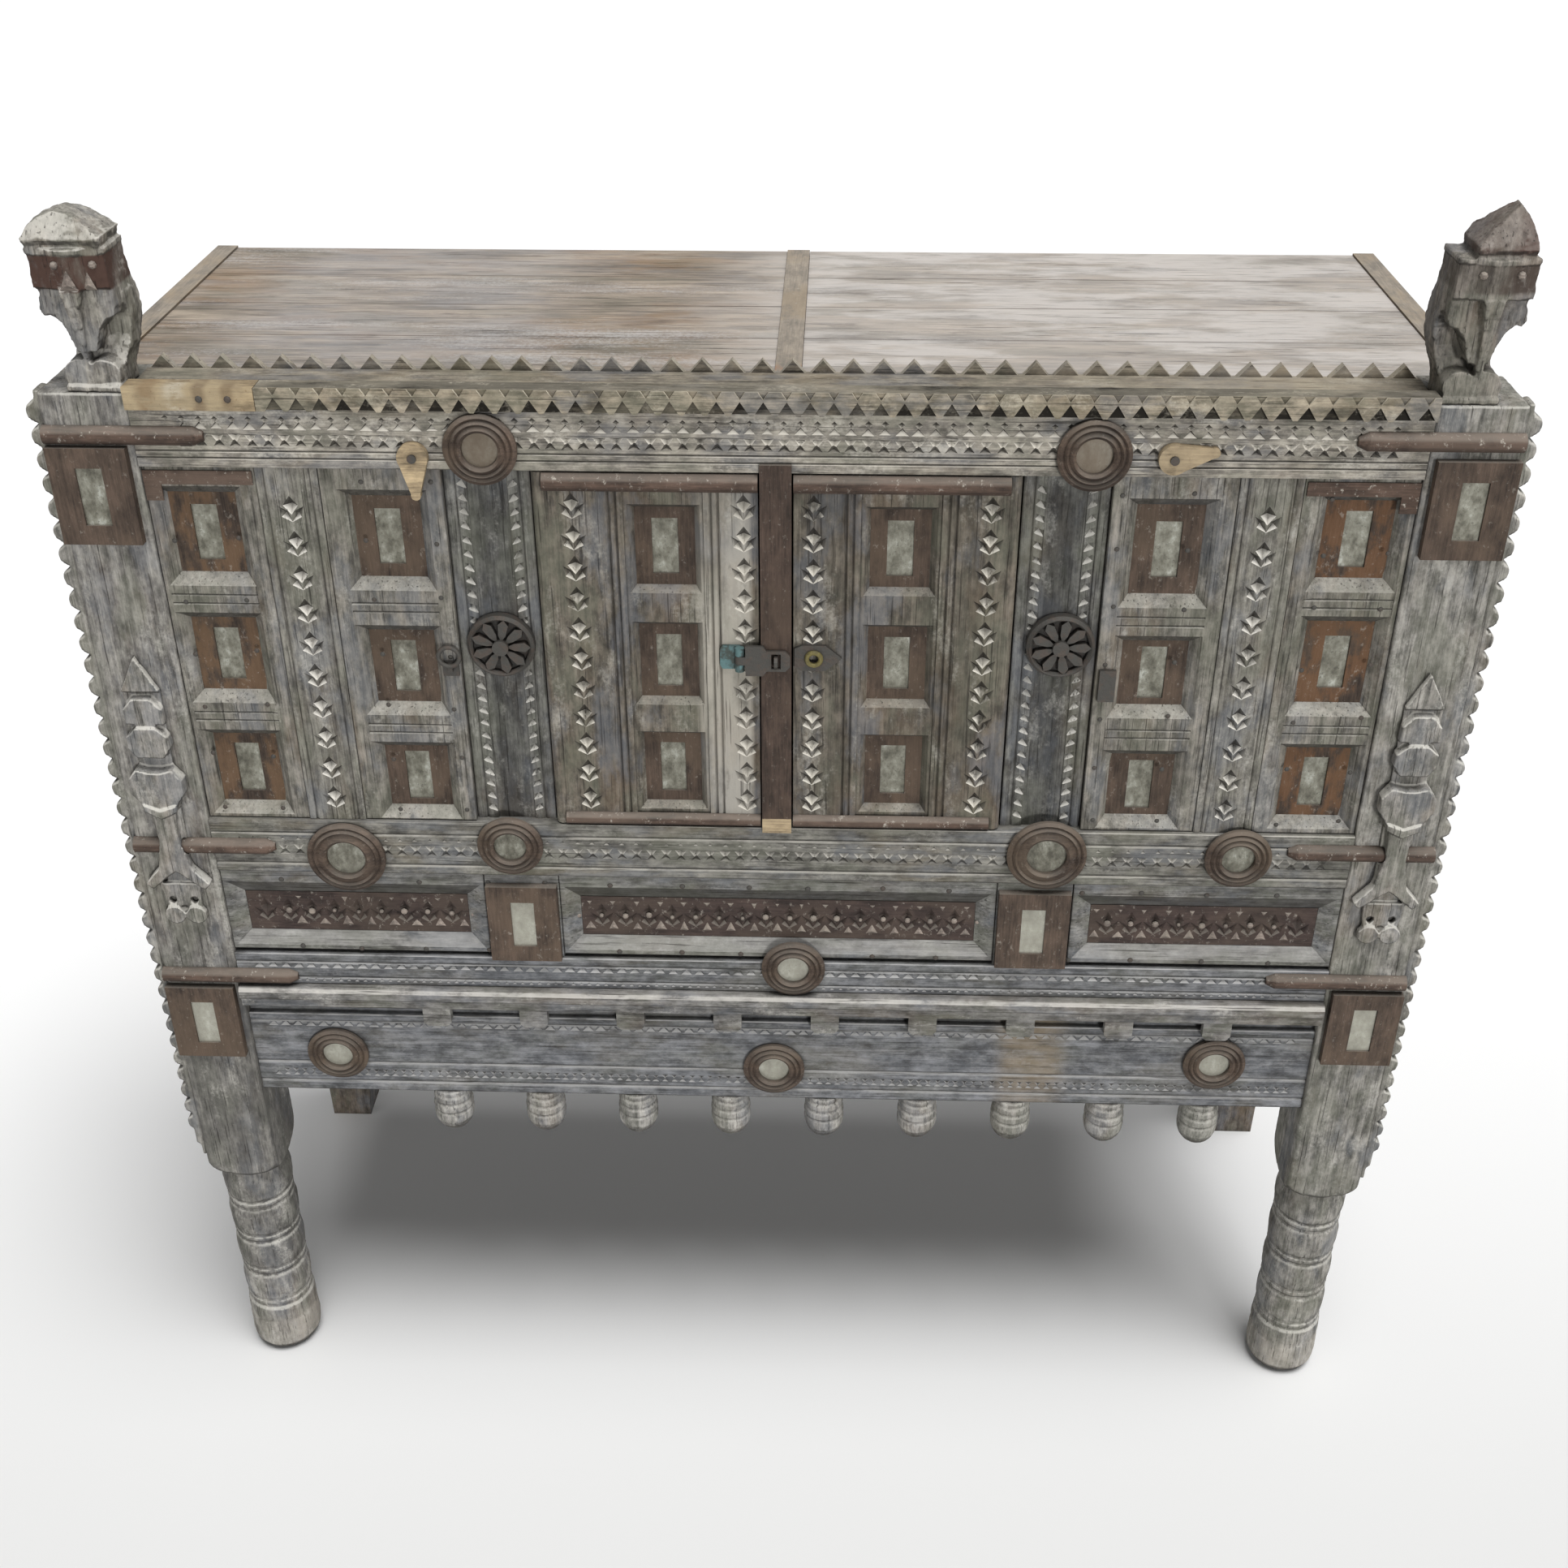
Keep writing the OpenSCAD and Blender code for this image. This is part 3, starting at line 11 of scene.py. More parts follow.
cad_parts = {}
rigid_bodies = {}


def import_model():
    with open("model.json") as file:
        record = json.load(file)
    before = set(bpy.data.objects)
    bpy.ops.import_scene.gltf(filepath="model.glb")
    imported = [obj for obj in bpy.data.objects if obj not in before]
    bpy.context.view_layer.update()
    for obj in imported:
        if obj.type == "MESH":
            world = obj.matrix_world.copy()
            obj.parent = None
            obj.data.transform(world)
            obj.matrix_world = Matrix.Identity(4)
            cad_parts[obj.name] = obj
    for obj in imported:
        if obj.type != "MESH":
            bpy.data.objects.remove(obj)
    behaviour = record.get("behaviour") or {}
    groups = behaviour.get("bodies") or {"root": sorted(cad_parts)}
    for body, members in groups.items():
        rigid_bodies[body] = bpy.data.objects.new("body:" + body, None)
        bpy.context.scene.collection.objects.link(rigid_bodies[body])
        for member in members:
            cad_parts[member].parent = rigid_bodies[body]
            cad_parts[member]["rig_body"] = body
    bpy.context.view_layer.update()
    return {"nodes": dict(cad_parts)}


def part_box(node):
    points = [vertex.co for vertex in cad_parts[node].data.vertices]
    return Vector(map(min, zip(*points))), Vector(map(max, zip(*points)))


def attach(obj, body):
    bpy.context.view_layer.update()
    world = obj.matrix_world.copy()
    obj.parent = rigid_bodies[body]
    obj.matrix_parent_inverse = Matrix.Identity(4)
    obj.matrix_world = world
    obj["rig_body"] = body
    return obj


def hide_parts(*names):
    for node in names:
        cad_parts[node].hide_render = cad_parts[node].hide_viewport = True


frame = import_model()
parts = frame["nodes"]

FACE = -0.212  # y of the post faces, in metres; drawings below count y back from there, in mm
JAMB_HALF = 36  # half a jamb's width, mm
PLANKS = 4  # top boards of one field, from front to back
PATCH_NAILS = (61, 84)  # the nails of the cornice patch, mm from its left end
SIDE_RAILS = 0.53  # |x| beyond which shell_rails run from front to back, in metres
LONG_EDGE, SHARP = 0.06, math.radians(50)  # edges longer (metres) and sharper than this are worn
PROUD = 0.4  # cutters start this far in front of the face, mm
RAIL_HALF, FOOT_HALF = 500, 505  # half the carved length of the upper rails, and of the lowest two, mm
FRAME_TOP, FRAME_RAISED = 86, 7.6  # top edge of the frieze frames over the frieze's foot, and its rise, mm
LEDGE_TABS = 23  # the tabs hang this far below the ledge proper, mm
FRIEZE_PITCH = 22  # from boss to boss of the frieze, mm
FINIAL_RIM = (1.2165, 1.2215)  # z of the upper edge of the finials' blocks, in metres
PEGS, TEETH = 1209, 1190  # heights of the pegs and of the teeth's foot on those blocks, mm
EYE = (0.0505, -1.5934, 1.5991)  # the camera's place, in metres
YAW, PITCH, ROLL = (math.radians(angle) for angle in (-1.827, 31.516, -0.095))
LENS = 41.857  # mm, on a sensor 36 mm wide


def at(x, y, z):
    """A point of the drawings, in mm, as a point of the scene."""
    return Vector((x / 1000, y / 1000 + FACE, z / 1000))


def foot(name):
    """Height of a node's lowest edge in the drawings, in mm."""
    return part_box(name)[0].z * 1000


def front(name):
    """Depth of a node's foremost face in the drawings, in mm."""
    return (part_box(name)[0].y - FACE) * 1000


# ---------------------------------------------------------------- materials

MOSS, SLATE = "#707263", "#6f747c"  # the green and the blue cast of old timber
UNDERSIDE_AND_HOLLOW_SHADE = "#1d1714"  # painted shade in the hollows and on the undersides of stained wood


def linear(colour):
    """sRGB hex to the linear RGBA that the shader wants."""
    channels = [int(colour[i:i + 2], 16) / 255 for i in (1, 3, 5)]
    return tuple(c / 12.92 if c <= 0.04045 else ((c + 0.055) / 1.055) ** 2.4 for c in channels) + (1.0,)


def shade(colour, factor):
    """The same hue, lighter or darker."""
    return "#" + "".join(f"{min(255, round(int(colour[i:i + 2], 16) * factor)):02x}" for i in (1, 3, 5))


def add(material, kind, inputs=None, stops=None, **settings):
    """Adds one shader node with its settings, its values and its links."""
    tree = material.node_tree
    node = tree.nodes.new("ShaderNode" + kind)
    for key, value in settings.items():
        setattr(node, key, value)
    for key, value in (inputs or {}).items():
        if isinstance(value, bpy.types.NodeSocket):
            tree.links.new(value, node.inputs[key])
        elif isinstance(value, str):
            node.inputs[key].default_value = linear(value)
        else:
            node.inputs[key].default_value = value
    if stops:
        ramp = node.color_ramp.elements
        while len(ramp) < len(stops):
            ramp.new(1.0)
        for element, (position, colour) in zip(ramp, stops):
            element.position = position
            element.color = linear(colour)
    return node


def finish_material(name):
    """A new material with its own surface shader; the caller fills it in."""
    material = bpy.data.materials.new(name)
    material.use_nodes = True
    shader = material.node_tree.nodes["Principled BSDF"]
    return material, shader


def wire(material, source, target):
    """Links one socket of a material to another."""
    material.node_tree.links.new(source, target)


def times(material, *values):
    """The product of two or more values."""
    product = values[0]
    for value in values[1:]:
        product = add(material, "Math", {0: product, 1: value}, operation="MULTIPLY").outputs[0]
    return product


def plus(material, *values):
    """The sum of two or more values."""
    total = values[0]
    for value in values[1:]:
        total = add(material, "Math", {0: total, 1: value}, operation="ADD").outputs[0]
    return total


def minus(material, a, b):
    """a less b."""
    return add(material, "Math", {0: a, 1: b}, operation="SUBTRACT").outputs[0]


def tint(material, colour, over, *amounts):
    """colour with another laid over it by the product of the amounts."""
    amount = times(material, *amounts)
    return add(material, "Mix", {0: amount, 6: colour, 7: over}, data_type="RGBA").outputs[2]


def flecks(material, size, offset=(0, 0, 0), detail=4.0, roughness=0.55):
    """Noise whose grains are size mm long on each axis, read in the piece's own place."""
    place = add(material, "TexCoord").outputs["Object"]
    scaled = add(material, "Mapping", {"Vector": place, "Location": offset,
                                       "Scale": tuple(1000 / s for s in size)}, vector_type="POINT")
    return add(material, "TexNoise", {"Vector": scaled.outputs[0], "Scale": 1.0, "Detail": detail,
                                      "Roughness": roughness}).outputs["Fac"]


def mask(material, value, low, high):
    """0 below low and 1 above high, smooth between; low above high turns it round."""
    return add(material, "MapRange", {0: value, 1: low, 2: high},
               interpolation_type="SMOOTHSTEP").outputs[0]


def zone(material, axis, start, full, last, end):
    """1 between full and last mm on one axis of the piece's place, 0 outside start and end."""
    place = add(material, "SeparateXYZ", {0: add(material, "TexCoord").outputs["Object"]}).outputs[axis]
    return times(material, mask(material, place, start / 1000, full / 1000),
                 mask(material, place, end / 1000, last / 1000))


def along(grain, across, length):
    """Size in mm of a fleck that runs with the grain."""
    return tuple(length if axis == grain else across for axis in "XYZ")


def upwards(material):
    """Height of the face's normal: 1 on a face that looks up, -1 on one that looks down."""
    return add(material, "SeparateXYZ", {0: add(material, "NewGeometry").outputs["Normal"]}).outputs["Z"]


def openness(material, reach):
    """1 on an open face, less in hollows narrower than reach metres."""
    return add(material, "AmbientOcclusion", {"Distance": reach}, samples=4).outputs["AO"]


def roughen(material, shader, colour, height, strength, distance, roughness):
    """Ends a material: its colour, its relief of distance metres and its roughness."""
    bump = add(material, "Bump", {"Height": height, "Strength": strength, "Distance": distance})
    wire(material, colour, shader.inputs["Base Color"])
    wire(material, bump.outputs[0], shader.inputs["Normal"])
    shader.inputs["Roughness"].default_value = roughness


def old_timber(name, grain, tone, wash="#c9c6be", wash_amount=0.45, warm="#7d6c58", warm_amount=0.3,
               dirt_and_shade="#25221f", grime_amount=0.5, upward=0.75, contrast=0.34, hues=0.35, coarse=1.0, zones=(),
               seed=0.0):
    """Hand-sawn hardwood, grey with age, with worn limewash in its pores, brown where it is rubbed bare and
    dark where smoke and hands have been: matt, raised grain, fine checks. Cuts that face up are painted
    paler, partly limewash packed in them and partly painted light from above, and hollows and faces that look
    down get painted shade.
    A zone is (axis, start, full, last, end, stain, amount) and stains the wood under the limewash."""
    material, shader = finish_material(name)
    a, b, c = seed, seed * 1.7 + 3, seed * 0.6 + 5
    streak = flecks(material, along(grain, 4.5, 150.0), (a, b, c), 6.0, 0.6)
    fibre = flecks(material, along(grain, 1.3, 30.0), (b, c, a), 4.0, 0.65)
    blotch = flecks(material, along(grain, 11.0 * coarse, 19.0 * coarse ** 2), (c, b, a), 7.0, 0.7)
    checks = flecks(material, along(grain, 1.7, 70.0), (c, a, b), 3.0, 0.5)
    patch = flecks(material, along(grain, 22.0 * coarse, 55.0 * coarse ** 2), (b, a, c), 8.0, 0.68)
    rubbed = flecks(material, along(grain, 45.0, 130.0), (a + 5, c, b), 6.0, 0.62)
    smoke = flecks(material, along(grain, 20.0, 55.0), (c + 7, b, a), 8.0, 0.7)
    mossy = flecks(material, along(grain, 40.0, 90.0), (b + 2, a, c), 5.0, 0.6)
    speck = flecks(material, (3.4, 3.4, 3.4), (a, c, b), 5.0, 0.75)
    facing = upwards(material)
    hollow = openness(material, 0.009)

    mixed = plus(material, times(material, blotch, 0.5), times(material, streak, 0.28),
                 times(material, fibre, 0.22))
    stops = [(place, shade(tone, 1 + contrast * change))
             for place, change in ((0.39, -1.15), (0.47, -0.35), (0.53, 0.3), (0.62, 1.0))]
    colour = add(material, "ValToRGB", {0: mixed}, stops=stops).outputs[0]
    colour = tint(material, colour, warm, mask(material, rubbed, 0.5, 0.66), warm_amount)
    colour = tint(material, colour, MOSS, mask(material, mossy, 0.48, 0.62), hues)
    colour = tint(material, colour, SLATE, mask(material, mossy, 0.5, 0.38), hues)

    for *span, stain, amount in zones:
        cloudy = plus(material, 0.5, times(material, mask(material, rubbed, 0.42, 0.58), 0.6))
        colour = tint(material, colour, stain, zone(material, *span), cloudy, amount)

    # limewash stays in the pores and is gone where hands rub; small cuts that face up are painted paler
    # still, partly limewash packed in them and partly painted light from above
    worn = plus(material, times(material, patch, 0.7), times(material, speck, 0.3))
    colour = tint(material, colour, wash, mask(material, worn, 0.52, 0.68), wash_amount)
    broad = minus(material, 1.0, times(material, mask(material, facing, 0.7, 0.8), 0.8))
    colour = tint(material, colour, shade(wash, 1.12),
                  mask(material, facing, 0.15, 0.4), broad, mask(material, patch, 0.3, 0.5), upward)

    # smoke, hands and old wax: dark patches and open checks; painted shade in the hollows and on faces that
    # look down
    open_check = mask(material, checks, 0.38, 0.3)
    colour = tint(material, colour, dirt_and_shade, mask(material, smoke, 0.54, 0.72), grime_amount)
    colour = tint(material, colour, dirt_and_shade, open_check, 0.6)
    # painted shade: darker in hollows narrower than 9 mm
    colour = tint(material, colour, dirt_and_shade, mask(material, hollow, 0.85, 0.3), 0.55)
    # painted shade: darker on faces that look down
    colour = tint(material, colour, dirt_and_shade, mask(material, facing, -0.12, -0.45), 0.72)

    relief = minus(material, plus(material, mixed, times(material, speck, 0.3)), open_check)
    roughen(material, shader, colour, relief, 0.6, 0.0016, 0.88)
    shader.inputs["Specular IOR Level"].default_value = 0.2
    return material


def stained_timber(name, grain, tone, faded, paint="#b4ada2", paint_amount=0.35, topside=0.3, zones=(),
                   seed=0.0):
    """Soft wood stained red-brown, faded in clouds, with flecks of limewash left on it.
    A zone is (axis, start, full, last, end, stain, amount)."""
    material, shader = finish_material(name)
    a, b, c = seed + 3, seed * 1.3 + 4, seed + 9
    fibre = flecks(material, along(grain, 1.6, 26.0), (a, b, c), 5.0, 0.65)
    cloud = flecks(material, along(grain, 16.0, 34.0), (b, c, a), 7.0, 0.66)
    batch = flecks(material, (95.0, 95.0, 95.0), (c, a, b), 1.0, 0.5)
    fleck = flecks(material, (5.0, 5.0, 7.0), (c, b, a), 8.0, 0.75)
    facing = upwards(material)
    hollow = openness(material, 0.008)
    mixed = plus(material, times(material, cloud, 0.62), times(material, fibre, 0.38))
    stops = [(0.36, shade(tone, 0.62)), (0.5, tone), (0.64, shade(tone, 1.3))]
    colour = add(material, "ValToRGB", {0: mixed}, stops=stops).outputs[0]
    fading = plus(material, times(material, batch, 0.6), times(material, cloud, 0.4))
    colour = tint(material, colour, faded, mask(material, fading, 0.47, 0.6), 0.6)
    for *span, stain, amount in zones:
        clouded = mask(material, cloud, 0.4, 0.55)
        colour = tint(material, colour, stain, clouded, amount, zone(material, *span))
    colour = tint(material, colour, paint, mask(material, fleck, 0.57, 0.68), paint_amount)
    # paler on faces that look up: partly limewash and dust settled there, partly painted light from above
    colour = tint(material, colour, paint, mask(material, facing, 0.2, 0.6), topside)
    # painted shade: darker in hollows and on faces that look down
    colour = tint(material, colour, UNDERSIDE_AND_HOLLOW_SHADE, mask(material, hollow, 0.85, 0.3), 0.6)
    colour = tint(material, colour, UNDERSIDE_AND_HOLLOW_SHADE, mask(material, facing, -0.15, -0.6), 0.5)
    roughen(material, shader, colour, plus(material, mixed, fleck), 0.5, 0.0012, 0.78)
    shader.inputs["Specular IOR Level"].default_value = 0.25
    return material


def tarnished_mirror():
    """Old silvered glass: grey-green, clouded and foxed, paler low down and browner in the top roundels."""
    material, shader = finish_material("tarnished_mirror_glass")
    cloud = flecks(material, (11.0, 11.0, 17.0), (2.0, 0.0, 5.0), 6.0, 0.65)
    spot = flecks(material, (2.6, 2.6, 2.6), (0.0, 3.0, 0.0), 4.0, 0.7)
    stops = [(0.34, "#4f4d43"), (0.46, "#6e6c60"), (0.58, "#8b8a7e"), (0.7, "#b6b7ad")]
    colour = add(material, "ValToRGB", {0: cloud}, stops=stops).outputs[0]
    colour = tint(material, colour, "#4b4940", mask(material, spot, 0.56, 0.66), 0.6)
    colour = tint(material, colour, "#bdbbae", zone(material, "Z", -1, 0, 600, 680), 0.45)
    colour = tint(material, colour, "#6d5f50", zone(material, "Z", 1044, 1050, 2000, 2100), 0.7)
    gloss = add(material, "MapRange", {0: cloud, 1: 0.35, 2: 0.65, 3: 0.55, 4: 0.3}).outputs[0]
    wire(material, colour, shader.inputs["Base Color"])
    wire(material, gloss, shader.inputs["Roughness"])
    shader.inputs["Metallic"].default_value = 0.35
    return material


def forged_iron(name, tone, rust, rust_amount=0.4, seed=0.0):
    """Hand-forged iron gone nearly black, with brown rust in its pits."""
    material, shader = finish_material(name)
    pitted = flecks(material, (3.0, 3.0, 3.0), (seed, 2.0, 1.0), 6.0, 0.65)
    cloud = flecks(material, (9.0, 9.0, 9.0), (seed + 4, 1.0, 0.0), 6.0, 0.65)
    hollow = openness(material, 0.006)
    colour = tint(material, tone, rust, mask(material, cloud, 0.45, 0.62), rust_amount)
    # painted shade: near black in the iron's hollows
    colour = tint(material, colour, "#14110f", mask(material, hollow, 0.9, 0.4), 0.7)
    roughen(material, shader, colour, pitted, 0.7, 0.001, 0.64)
    shader.inputs["Metallic"].default_value = 0.3
    return material


# the front posts darker from 90 to 620 mm up, the left far more than the right: partly dark stain, partly
# painted shade on the side away from the light
left_timber, right_timber = (
    old_timber(name, "Z", tone, wash_amount=0.5, warm_amount=0.2, upward=0.45, seed=1.0,
               zones=[("Z", -400, -300, 40, 62, "#b3aca1", 0.45),
                      ("Z", 90, 160, 480, 620, "#4b4a48", leg_stain_and_shade)])
    for name, tone, leg_stain_and_shade in (("left_post_timber", "#807d78", 0.6),
                              ("right_post_timber", "#84817b", 0.15)))
back_timber = old_timber("unwashed_back_leg_timber", "Z", "#57514a", wash_amount=0.15, warm_amount=0.3,
                         seed=1.6)
top_rail_timber = old_timber("limewashed_top_rail_timber", "X", "#908b81", wash="#d6d1c5", wash_amount=0.6,
                             warm_amount=0.25, seed=2.0)
frame_timber = old_timber("limewashed_rail_timber", "X", "#6f6d67", wash="#bdbab1", wash_amount=0.42,
                          warm="#776b55", warm_amount=0.3, upward=0.6, seed=2.4)
frieze_frame_timber = old_timber("smoky_frieze_frame_timber", "X", "#6f6e6b", wash="#b4b3af", wash_amount=0.4,
                                 warm_amount=0.15, grime_amount=0.5, upward=0.25, seed=2.8)
lower_timber = old_timber("grey_washed_lower_rail_timber", "X", "#6a6b6d", wash="#a9a8a6", wash_amount=0.4,
                          warm="#79705c", warm_amount=0.2, hues=0.15, upward=0.7, seed=3.0)
apron_timber = old_timber("grey_washed_apron_timber", "X", "#6a6b6d", wash="#a9a8a6", wash_amount=0.4,
                          warm="#79705c", warm_amount=0.2, hues=0.15, upward=0.7, seed=3.2,
                          zones=[("X", 205, 228, 262, 290, "#93836b", 0.5)])
ledge_timber = old_timber("chalky_ledge_timber", "X", "#777572", wash="#c6c3bc", wash_amount=0.6,
                          warm_amount=0.2, grime_amount=0.7, upward=0.5, seed=3.6)
panel_timber = old_timber("limewashed_panel_timber", "Z", "#75716a", wash="#c2bfb6", wash_amount=0.5,
                          warm_amount=0.3, upward=0.4, seed=4.0)
strip_timber = old_timber("limewashed_chip_carved_timber", "Z", "#76736c", wash="#c6c3bb", wash_amount=0.5,
                          warm_amount=0.25, upward=1.0, seed=4.4)
leaf_timber = old_timber("bare_brown_leaf_timber", "Z", "#625c53", wash="#c4c0b5", wash_amount=0.42,
                         warm="#6f5d4b", warm_amount=0.35, upward=0.95, hues=0.4, seed=5.0,
                         zones=[("X", -72, -60, -24, -18, "#bdb8ad", 0.55),
                                ("X", 18, 24, 52, 70, "#38352f", 0.35),
                                ("X", 100, 125, 165, 180, "#4a463d", 0.3)])
jamb_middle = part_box("jambs")[1].x * 1000 - JAMB_HALF
jamb_timber = old_timber("smoke_dark_jamb_timber", "Z", "#64635f", wash="#bcbab3", wash_amount=0.45,
                         warm_amount=0.2, grime_amount=0.7, upward=0.75, seed=6.0,
                         zones=[("X", m - 18, m - 10, m + 10, m + 18, "#1f2123", 0.5)
                                for m in (-jamb_middle, jamb_middle)])
board_start, board_end = (corner.y * 1000 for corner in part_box("top_boards"))
plank_joints = [board_start + (board_end - board_start) * i / PLANKS for i in range(1, PLANKS)]
seams = [("Y", y - 2.5, y - 0.8, y + 0.8, y + 2.5, "#4d4036", 0.35) for y in plank_joints]
top_timber = old_timber("scrubbed_top_board_timber", "X", "#95897c", wash="#c6c3c1", wash_amount=0.7,
                        warm="#8a6f52", warm_amount=0.55, grime_amount=0.3, upward=0.1, contrast=0.26,
                        hues=0.2, coarse=2.8, seed=7.0,
                        zones=[("X", -120, 60, 600, 700, "#d6d1cc", 0.72),
                               ("X", -540, -430, -260, -160, "#c0c1c4", 0.3)] + seams)
cornice_timber = old_timber("dusty_cornice_timber", "X", "#7a7266", wash="#c0b9aa", wash_amount=0.5,
                            warm="#7f6f56", warm_amount=0.35, upward=0.35, seed=8.0,
                            zones=[("X", 150, 260, 620, 700, "#b5a994", 0.45)])
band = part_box("cornice_lower")[0].y * 1000
# painted shade: the faces more than 1.5 mm behind the band's front, in the recess behind its teeth, are
# painted near black
band_timber = old_timber("dusty_toothed_band_timber", "X", "#8b8272", wash="#cdc5b3", wash_amount=0.6,
                         warm="#7f6f56", warm_amount=0.3, upward=0.8, seed=8.6,
                         zones=[("Y", band + 1.5, band + 4, 100, 200, "#24211c", 1.0)])
pendant_timber = old_timber("limewashed_turned_timber", "Z", "#8f8d88", wash_amount=0.5, warm_amount=0.2,
                            upward=0.2, seed=8.8)
carved_timber = old_timber("limewashed_carved_timber", "Z", "#85827c", wash="#c8c5bd", wash_amount=0.55,
                           warm_amount=0.25, upward=0.6, seed=9.0)
finial_timber = old_timber("limewashed_finial_timber", "Z", "#827e77", wash="#c9c5bd", wash_amount=0.6,
                           warm="#84705c", warm_amount=0.3, upward=0.5, seed=9.4,
                           zones=[("Z", 1187, 1190, 1215, 1217, "#4c3a33", 1.0)])
capped_timber = old_timber("brown_capped_finial_timber", "Z", "#7c7770", wash="#bfbab2", wash_amount=0.32,
                           warm="#84705c", warm_amount=0.3, upward=0.12, seed=9.8,
                           zones=[("Z", 1193, 1197, 1216, 1218, "#453b35", 0.8),
                                  ("Z", 1222, 1226, 1300, 1310, "#4f3c36", 0.9)])
hidden_timber = old_timber("plain_aged_timber", "X", "#7b7164", wash_amount=0.2, warm_amount=0.4,
                           contrast=0.26, seed=10.0)
crosswise_timber = old_timber("plain_aged_side_rail_timber", "Y", "#7b7164", wash_amount=0.2, warm_amount=0.4,
                              contrast=0.26, seed=10.4)
board_timber = old_timber("plain_aged_board_timber", "Z", "#827c71", wash_amount=0.3, warm_amount=0.35,
                          contrast=0.24, hues=0.2, coarse=1.6, seed=11.0)
plaque_timber = stained_timber("rust_stained_plaque_wood", "Z", "#4d4138", "#5c4e41",
                               zones=[("X", -520, -510, -450, -400, "#6f553c", 0.5),
                                      ("X", 400, 420, 500, 520, "#76502f", 0.45)])
bar_timber = stained_timber("rust_stained_bar_wood", "X", "#53443b", "#64564c", paint_amount=0.9,
                            topside=0.22, seed=2.0)
lath_timber = stained_timber("rust_stained_lath_wood", "Z", "#443831", "#4e4137", paint_amount=0.25, seed=4.0)
frieze_timber = stained_timber("dark_stained_frieze_wood", "X", "#423733", "#4c423a", paint_amount=0.45,
                               seed=5.0)
turned_timber = stained_timber("brown_stained_turned_wood", "X", "#50443b", "#5c5043", paint_amount=0.2,
                               topside=0.15, seed=6.0)
strip_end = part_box("top_centre_strip")[0].y * 1000
batten_timber = stained_timber("rubbed_batten_wood", "Y", "#857a6d", "#8f7a5c", paint_amount=0.55, seed=8.0,
                               zones=[("Y", -900, -800, strip_end + 12, strip_end + 24, "#8b5a34", 1.0)])
new_timber = stained_timber("new_planed_pine", "X", "#a08e72", "#a39379", paint="#5c4631", paint_amount=0.3,
                            topside=0.0, seed=9.0)
patch_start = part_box("cornice_patch")[0].x * 1000
patch_marks = [(patch_start + x, reach, stain)
               for x, reach, stain in ((19, 11, "#6e5337"), (41, 12, "#c9c3b4"),
                                       (PATCH_NAILS[0], 8, "#4f3a2b"), (PATCH_NAILS[1], 8, "#5c4631"))]
patch_timber = stained_timber("nail_stained_new_pine", "X", "#958469", "#a8997d", paint="#6b4c32",
                              paint_amount=0.75, topside=0.0, seed=12.0,
                              zones=[("X", x - reach, x - 2, x + 2, x + reach, stain, 0.5)
                                     for x, reach, stain in patch_marks])
frieze_pale = stained_timber("rubbed_frieze_wood", "X", "#857a72", "#8d857a", paint_amount=0.5, seed=7.0)
glass = tarnished_mirror()
iron = forged_iron("blackened_forged_iron", "#43413d", "#54443a")
verdigris = forged_iron("verdigris_on_brass", "#587576", "#3b3f39", rust_amount=0.9, seed=2.0)
brass = forged_iron("worn_brass", "#6e653a", "#3f3b29", rust_amount=0.6, seed=3.0)

finishes = {
    left_timber: ["post_front_left"],
    right_timber: ["post_front_right", "edge_strips"],
    back_timber: ["post_back_left", "post_back_right"],
    top_rail_timber: ["top_rail"],
    frame_timber: ["mid_rail"],
    frieze_frame_timber: ["frieze_board", "frieze_frames"],
    lower_timber: ["lower_rail"],
    apron_timber: ["apron"],
    ledge_timber: ["ledge"],
    panel_timber: ["panel_frames"],
    strip_timber: ["chip_strips"],
    leaf_timber: ["door_left_leaf", "door_right_leaf"],
    jamb_timber: ["jambs", "centre_mullion"],
    top_timber: ["top_boards"],
    cornice_timber: ["cornice_shelf", "cornice_sawtooth"],
    band_timber: ["cornice_lower"],
    carved_timber: ["appliques"],
    pendant_timber: ["pendants"],
    finial_timber: ["finial_left"],
    capped_timber: ["finial_right"],
    hidden_timber: ["shell_rails", "floor_boards", "bearers"],
    board_timber: ["side_boards", "back_boards"],
    plaque_timber: ["panel_plaques", "case_plaques", "door_left_plaques", "door_right_plaques"],
    bar_timber: ["corner_straps", "corner_bars", "door_left_bars", "door_right_bars"],
    lath_timber: ["centre_lath"],
    frieze_timber: ["frieze_panels"],
    turned_timber: ["roundels"],
    batten_timber: ["top_centre_strip", "top_end_battens"],
    new_timber: ["lath_block", "button_left", "button_right"],
    patch_timber: ["cornice_patch"],
    glass: ["panel_mirrors", "case_mirrors", "door_left_mirrors", "door_right_mirrors"],
    iron: ["iron_eyes", "button_nails", "hasp", "eye_plate", "flower_bosses"],
    verdigris: ["hasp_hinge"],
    brass: ["eye_ring"],
}

for material, names in finishes.items():
    for name in names:
        parts[name].data.materials.clear()
        parts[name].data.materials.append(material)

# ---------------------------------------------------------------- carving

hand = random.Random(7)  # the carver's hand: small, repeatable slips


def slip(amount):
    """A slip of up to amount, either way."""
    return hand.uniform(-amount, amount)


def pit(cut, place, outline, depth, low=(0, 0)):
    """A knife cut: the outline on a face at place, sloping to a point depth mm in, low from its middle."""
    x, y, z = place
    grow = hand.uniform(0.88, 1.1)
    wider = (depth + PROUD) / depth
    tip = cut.verts.new(at(x + low[0], y + depth, z + low[1]))
    rim = [cut.verts.new(at(x + low[0] + (grow * px - low[0]) * wider, y - PROUD,
                            z + low[1] + (grow * pz - low[1]) * wider)) for px, pz in outline]
    cut.faces.new(rim)
    for one, two in zip(rim, rim[1:] + rim[:1]):
        cut.faces.new((two, one, tip))


